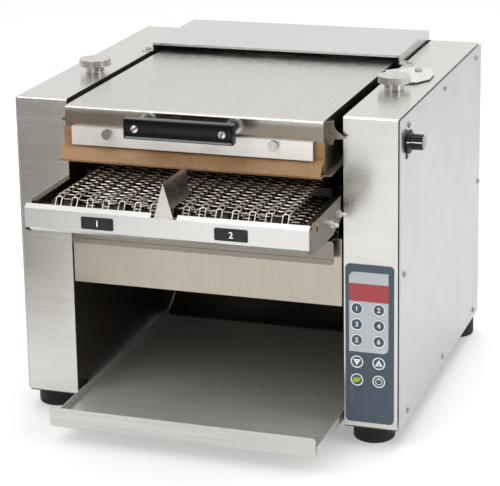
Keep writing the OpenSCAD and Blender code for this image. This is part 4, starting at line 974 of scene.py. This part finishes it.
handle_head_places = [
    (at(side * HANDLE_HEAD_X, HANDLE_HEAD_Y, HANDLE_HEAD_Z), (0, -1, 0), spin)
    for side, spin in ((-1, 0.6), (1, 1.4))
]
handle_heads = scatter(
    "handle_screw_heads",
    handle_head_places,
    screw_head(True),
    MATERIALS["bright_head"],
    HANDLE_HEAD_D / HEAD_D,
)
for name, mesh, body, node in (
    ("case_screw_heads", heads, "base", "case_screws"),
    ("foot_bolts", bolts, "base", "case_screws"),
    ("handle_screw_heads", handle_heads, "upper_housing", "handle_screws"),
):
    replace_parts(new_piece(name, mesh, body, [], 35), node)


# Screw of the latch plate: a spacer under the plate and the same head, larger, above it
LATCH_X, LATCH_Y, LATCH_HEAD_Z, LATCH_HEAD_D = 193.5, 230.8, 389.8, 9.2
SPACER_R, SPACER_H, SPACER_EDGE = 6.0, 1.45, 0.2


def lathe(profile, place, steps=64, reach=None):
    """Closed solid of revolution. The profile has (height, radius) pairs; place turns a height,
    a radius and an angle into a point; reach changes a radius with the angle and height."""
    bm = bmesh.new()
    rows = []
    for height, radius in profile:
        row = []
        for k in range(steps):
            angle = 2 * math.pi * k / steps
            r = radius if reach is None else reach(height, radius, angle)
            row.append(bm.verts.new(place(height, r, angle)))
        rows.append(row)
    for a, b in zip(rows, rows[1:]):
        for k in range(steps):
            m = (k + 1) % steps
            bm.faces.new((a[k], a[m], b[m], b[k]))
    bm.faces.new(list(reversed(rows[0])))
    bm.faces.new(rows[-1])
    bmesh.ops.recalc_face_normals(bm, faces=bm.faces)
    return bm


def upright(x, y):
    """Places a lathed point about a vertical axis."""
    return lambda h, r, a: at(x + r * math.cos(a), y + r * math.sin(a), h)


latch_head = scatter(
    "latch_screw_head",
    [(at(LATCH_X, LATCH_Y, LATCH_HEAD_Z), (0, 0, 1), 0.35)],
    screw_head(),
    MATERIALS["head"],
    LATCH_HEAD_D / HEAD_D,
)
latch_head_piece = new_piece("latch_screw_head", latch_head, "base", [], 35)
spacer_profile = [
    (BODY_TOP, SPACER_R - SPACER_EDGE),
    (BODY_TOP + SPACER_EDGE, SPACER_R),
    (BODY_TOP + SPACER_H - SPACER_EDGE, SPACER_R),
    (BODY_TOP + SPACER_H, SPACER_R - SPACER_EDGE),
]
spacer = slab_piece(
    "latch_spacer",
    [lathe(spacer_profile, upright(LATCH_X, LATCH_Y))],
    "base",
    MATERIALS["screw"],
)
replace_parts(latch_head_piece, "latch_screw")
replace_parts(spacer, "latch_screw")


# Side dial: a black fluted grip on a skirt, with a pale pointer line and a grey end cap
DIAL_Y, DIAL_Z = 27.0, 356.4
SKIRT_R, GRIP_R, CAP_R = 13.5, 8.8, 6.7
SKIRT_X, GRIP_X, GRIP_END_X, DIAL_END_X = 232.0, 235.5, 248.7, 250.98
FLUTES, FLUTE_DEPTH = 14, 0.75
LINE_HALF_W = 0.5


def sideways(h, r, a):
    """Places a lathed point about the dial's axis."""
    return at(h, DIAL_Y + r * math.cos(a), DIAL_Z + r * math.sin(a))


def fluted(height, radius, angle):
    """Round on the skirt, fluted on the grip."""
    if height <= GRIP_X + 0.5:
        return radius
    groove = (0.5 - 0.5 * math.cos(FLUTES * angle)) ** 3
    return radius - FLUTE_DEPTH * groove


dial_profile = [(SKIRT_X, SKIRT_R - 0.4), (SKIRT_X + 0.4, SKIRT_R), (SKIRT_X + 2.2, SKIRT_R)]
dial_profile += [(SKIRT_X + 3.0, SKIRT_R - 0.9), (GRIP_X, GRIP_R + 2.2)]
dial_profile += [(GRIP_X + 0.5, GRIP_R + 0.6), (GRIP_X + 1.2, GRIP_R)]
dial_profile += [(GRIP_END_X - 0.6, GRIP_R - 0.15)]
dial_profile += [(GRIP_END_X - 0.15, GRIP_R - 0.45), (GRIP_END_X, GRIP_R - 1.0)]
grip = slab_piece(
    "dial_grip",
    [lathe(dial_profile, sideways, 168, fluted)],
    "side_dial",
    MATERIALS["black"],
)
with_sharp_edges(grip.data, 35)
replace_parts(grip, "side_dial")
cap_profile = [(GRIP_END_X - 0.5, CAP_R), (DIAL_END_X - 0.5, CAP_R)]
cap_profile += [(DIAL_END_X - 0.12, CAP_R - 0.25), (DIAL_END_X, CAP_R - 0.8)]
cap = slab_piece(
    "dial_cap", [lathe(cap_profile, sideways)], "side_dial", MATERIALS["grey_cap"]
)
with_sharp_edges(cap.data, 35)

LINE_AT = math.radians(171)
pointer = bmesh.new()
outward = Vector((0, math.cos(LINE_AT), math.sin(LINE_AT)))
beside = Vector((0, -math.sin(LINE_AT), math.cos(LINE_AT)))
on_grip = (GRIP_X, GRIP_END_X + 0.1, 8.0, 9.0)
on_skirt = (SKIRT_X + 0.6, GRIP_X + 0.4, 10.0, 13.6)
for x0, x1, r0, r1 in (on_grip, on_skirt):
    corners = [
        pointer.verts.new(at(x, DIAL_Y, DIAL_Z) + (outward * r + beside * w) * MM)
        for x in (x0, x1)
        for r in (r0, r1)
        for w in (-LINE_HALF_W, LINE_HALF_W)
    ]
    bmesh.ops.convex_hull(pointer, input=corners)
slab_piece("dial_pointer_line", [pointer], "side_dial", MATERIALS["white"])


# Handle bar: a moulded bar whose face is sunk between rims, the lower rim broader and rounded
HANDLE_HALF_W, HANDLE_LOW, HANDLE_TOP = 63.5, 366.25, 388.75
HANDLE_FACE_Y, HANDLE_BACK_Y, HANDLE_SUNK = -78.0, -66.0, 1.3
RIM_LOW, RIM_TOP, RIM_END, RIM_SLOPE = 1.0, 0.7, 1.0, 1.5
RIM_HIGHLIGHT_H = 4  # only the slope of the lower rim, which gets the painted highlight, lies within this height


def handle_mesh():
    """The bar with its sunk face, rounded outside."""
    bm = bmesh.new()

    def frame_loop(inset_low, inset_top, inset_end, y):
        left, right = -HANDLE_HALF_W + inset_end, HANDLE_HALF_W - inset_end
        low, top = HANDLE_LOW + inset_low, HANDLE_TOP - inset_top
        corners = ((left, low), (right, low), (right, top), (left, top))
        return [bm.verts.new(at(x, y, z)) for x, z in corners]

    loops = [
        frame_loop(0, 0, 0, HANDLE_BACK_Y),
        frame_loop(0, 0, 0, HANDLE_FACE_Y),
        frame_loop(RIM_LOW, RIM_TOP, RIM_END, HANDLE_FACE_Y),
        frame_loop(
            RIM_LOW + RIM_SLOPE * 1.2,
            RIM_TOP + RIM_SLOPE * 0.4,
            RIM_END + RIM_SLOPE * 0.6,
            HANDLE_FACE_Y + HANDLE_SUNK,
        ),
    ]
    bm.faces.new(list(reversed(loops[0])))
    bm.faces.new(loops[-1])
    for a, b in zip(loops, loops[1:]):
        for k in range(4):
            m = (k + 1) % 4
            bm.faces.new((a[k], a[m], b[m], b[k]))
    outer = [e for e in bm.edges if all(v in loops[0] + loops[1] for v in e.verts)]
    bmesh.ops.bevel(bm, geom=outer, offset=0.8 * MM, segments=4, profile=0.5, affect="EDGES")
    bmesh.ops.recalc_face_normals(bm, faces=bm.faces)
    return bm


handle_bar = slab_piece(
    "handle_grip", [handle_mesh()], "upper_housing", MATERIALS["handle"]
)
with_sharp_edges(handle_bar.data, 40)
# painted highlight: the lower rim's upward slope gets a paler, glossier material
handle_bar.data.materials.append(MATERIALS["rim_painted_highlight"])
rim_top = (HANDLE_LOW + RIM_HIGHLIGHT_H) * MM
for face in handle_bar.data.polygons:
    if face.center.z < rim_top and face.normal.z > 0.3 and face.normal.y < -0.3:
        face.material_index = 1
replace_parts(handle_bar, "handle_bar")


# ---------- stage, lights and camera ----------


def stage_sheet(name, low, high, z, code, glow_code, glow):
    """A flat sheet of the studio, from a low to a high corner, at a height, that glows evenly."""
    mesh = bpy.data.meshes.new(name)
    (x0, y0), (x1, y1) = low, high
    mesh.from_pydata([(x0, y0, z), (x1, y0, z), (x1, y1, z), (x0, y1, z)], [], [(0, 1, 2, 3)])
    material, _, shader = new_material(name)
    shader.inputs["Base Color"].default_value = linear(code)
    shader.inputs["Roughness"].default_value = 0.9
    shader.inputs["Specular IOR Level"].default_value = 0.1
    shader.inputs["Emission Color"].default_value = linear(glow_code)
    shader.inputs["Emission Strength"].default_value = glow
    mesh.materials.append(material)
    sheet = bpy.data.objects.new(name, mesh)
    bpy.context.scene.collection.objects.link(sheet)
    return sheet


stage_sheet("studio_floor", (-14, -14), (14, 14), 0.0, "e2e2e2", "ffffff", 0.28)
# grey cards on the floor at the front left, which only reflections see: they tone down what
# the brushed fronts mirror
for card in (
    stage_sheet("card_far", (-2.6, -3.4), (-0.45, -0.62), 0.004, "000000", "97928b", 1.0),
    stage_sheet("card_near", (-2.6, -0.62), (-0.32, -0.42), 0.004, "000000", "c6c3bd", 1.0),
):
    card.visible_camera = card.visible_diffuse = card.visible_shadow = False

world = bpy.data.worlds.new("studio")
bpy.context.scene.world = world
world.use_nodes = True
world_tree = world.node_tree
backdrop = next(n for n in world_tree.nodes if n.type == "BACKGROUND")
# the studio is dimmer in front of the machine than behind it
way = add(world_tree, "ShaderNodeTexCoord").outputs["Generated"]
axes = add(world_tree, "ShaderNodeSeparateXYZ", {0: way})
behind = add(
    world_tree, "ShaderNodeMapRange", {0: axes.outputs["Y"], 1: -0.5, 2: 0.35, 3: 0.42, 4: 1.0}
).outputs[0]
world_tree.links.new(behind, backdrop.inputs["Strength"])
backdrop.inputs["Color"].default_value = (1.0, 1.0, 1.0, 1)


def soft_light(name, place, aim, width, height, power):
    """A rectangular area light at a point, aimed at another."""
    data = bpy.data.lights.new(name, "AREA")
    data.shape = "RECTANGLE"
    data.size, data.size_y = width, height
    data.energy = power
    lamp = bpy.data.objects.new(name, data)
    lamp.location = place
    lamp.rotation_euler = (Vector(aim) - Vector(place)).to_track_quat("-Z", "Y").to_euler()
    bpy.context.scene.collection.objects.link(lamp)


soft_light("key_light", (-0.9, -1.6, 2.0), (0, 0, 0.2), 1.6, 1.3, 20)
soft_light("bay_light", (-0.3, -1.5, 0.5), (0, 0, 0.05), 0.6, 0.3, 0.8)
soft_light("top_light", (0.3, 0.4, 2.6), (0, 0, 0.3), 2.2, 2.2, 30)
soft_light("right_light", (2.2, -0.6, 1.3), (0.2, 0, 0.2), 0.9, 1.6, 8)

scene = bpy.context.scene
scene.view_settings.view_transform = "Standard"
scene.view_settings.look = "None"

# Camera at the photograph's place: fitted to the towers' edges
CAMERA_AT = (728.67, -1998.66, 904.97)
CAMERA_YAW, CAMERA_PITCH, CAMERA_ROLL = 0.34265, 0.25310, -0.02117
FOCAL_PX = 1951.26
PHOTO_W, PHOTO_H = 500, 486
CENTRE_PX = (215.0, 135.0)

SENSOR_W = 36.0

camera_data = bpy.data.cameras.new("camera")
camera_data.sensor_width = SENSOR_W
camera_data.sensor_fit = "HORIZONTAL"
camera_data.lens = FOCAL_PX * SENSOR_W / PHOTO_W
camera_data.shift_x = (PHOTO_W / 2 - CENTRE_PX[0]) / PHOTO_W
camera_data.shift_y = (CENTRE_PX[1] - PHOTO_H / 2) / PHOTO_W
camera_data.clip_start, camera_data.clip_end = 0.1, 60.0
camera = bpy.data.objects.new("camera", camera_data)
scene.collection.objects.link(camera)
cos_y, sin_y = math.cos(CAMERA_YAW), math.sin(CAMERA_YAW)
cos_p, sin_p = math.cos(CAMERA_PITCH), math.sin(CAMERA_PITCH)
ahead = Vector((-sin_y * cos_p, cos_y * cos_p, -sin_p))
level = Vector((cos_y, sin_y, 0))
upward = level.cross(ahead)
right = math.cos(CAMERA_ROLL) * level + math.sin(CAMERA_ROLL) * upward
up = -math.sin(CAMERA_ROLL) * level + math.cos(CAMERA_ROLL) * upward
turned = Matrix((right, up, -ahead)).transposed().to_4x4()
camera.matrix_world = Matrix.Translation(at(*CAMERA_AT)) @ turned
scene.camera = camera
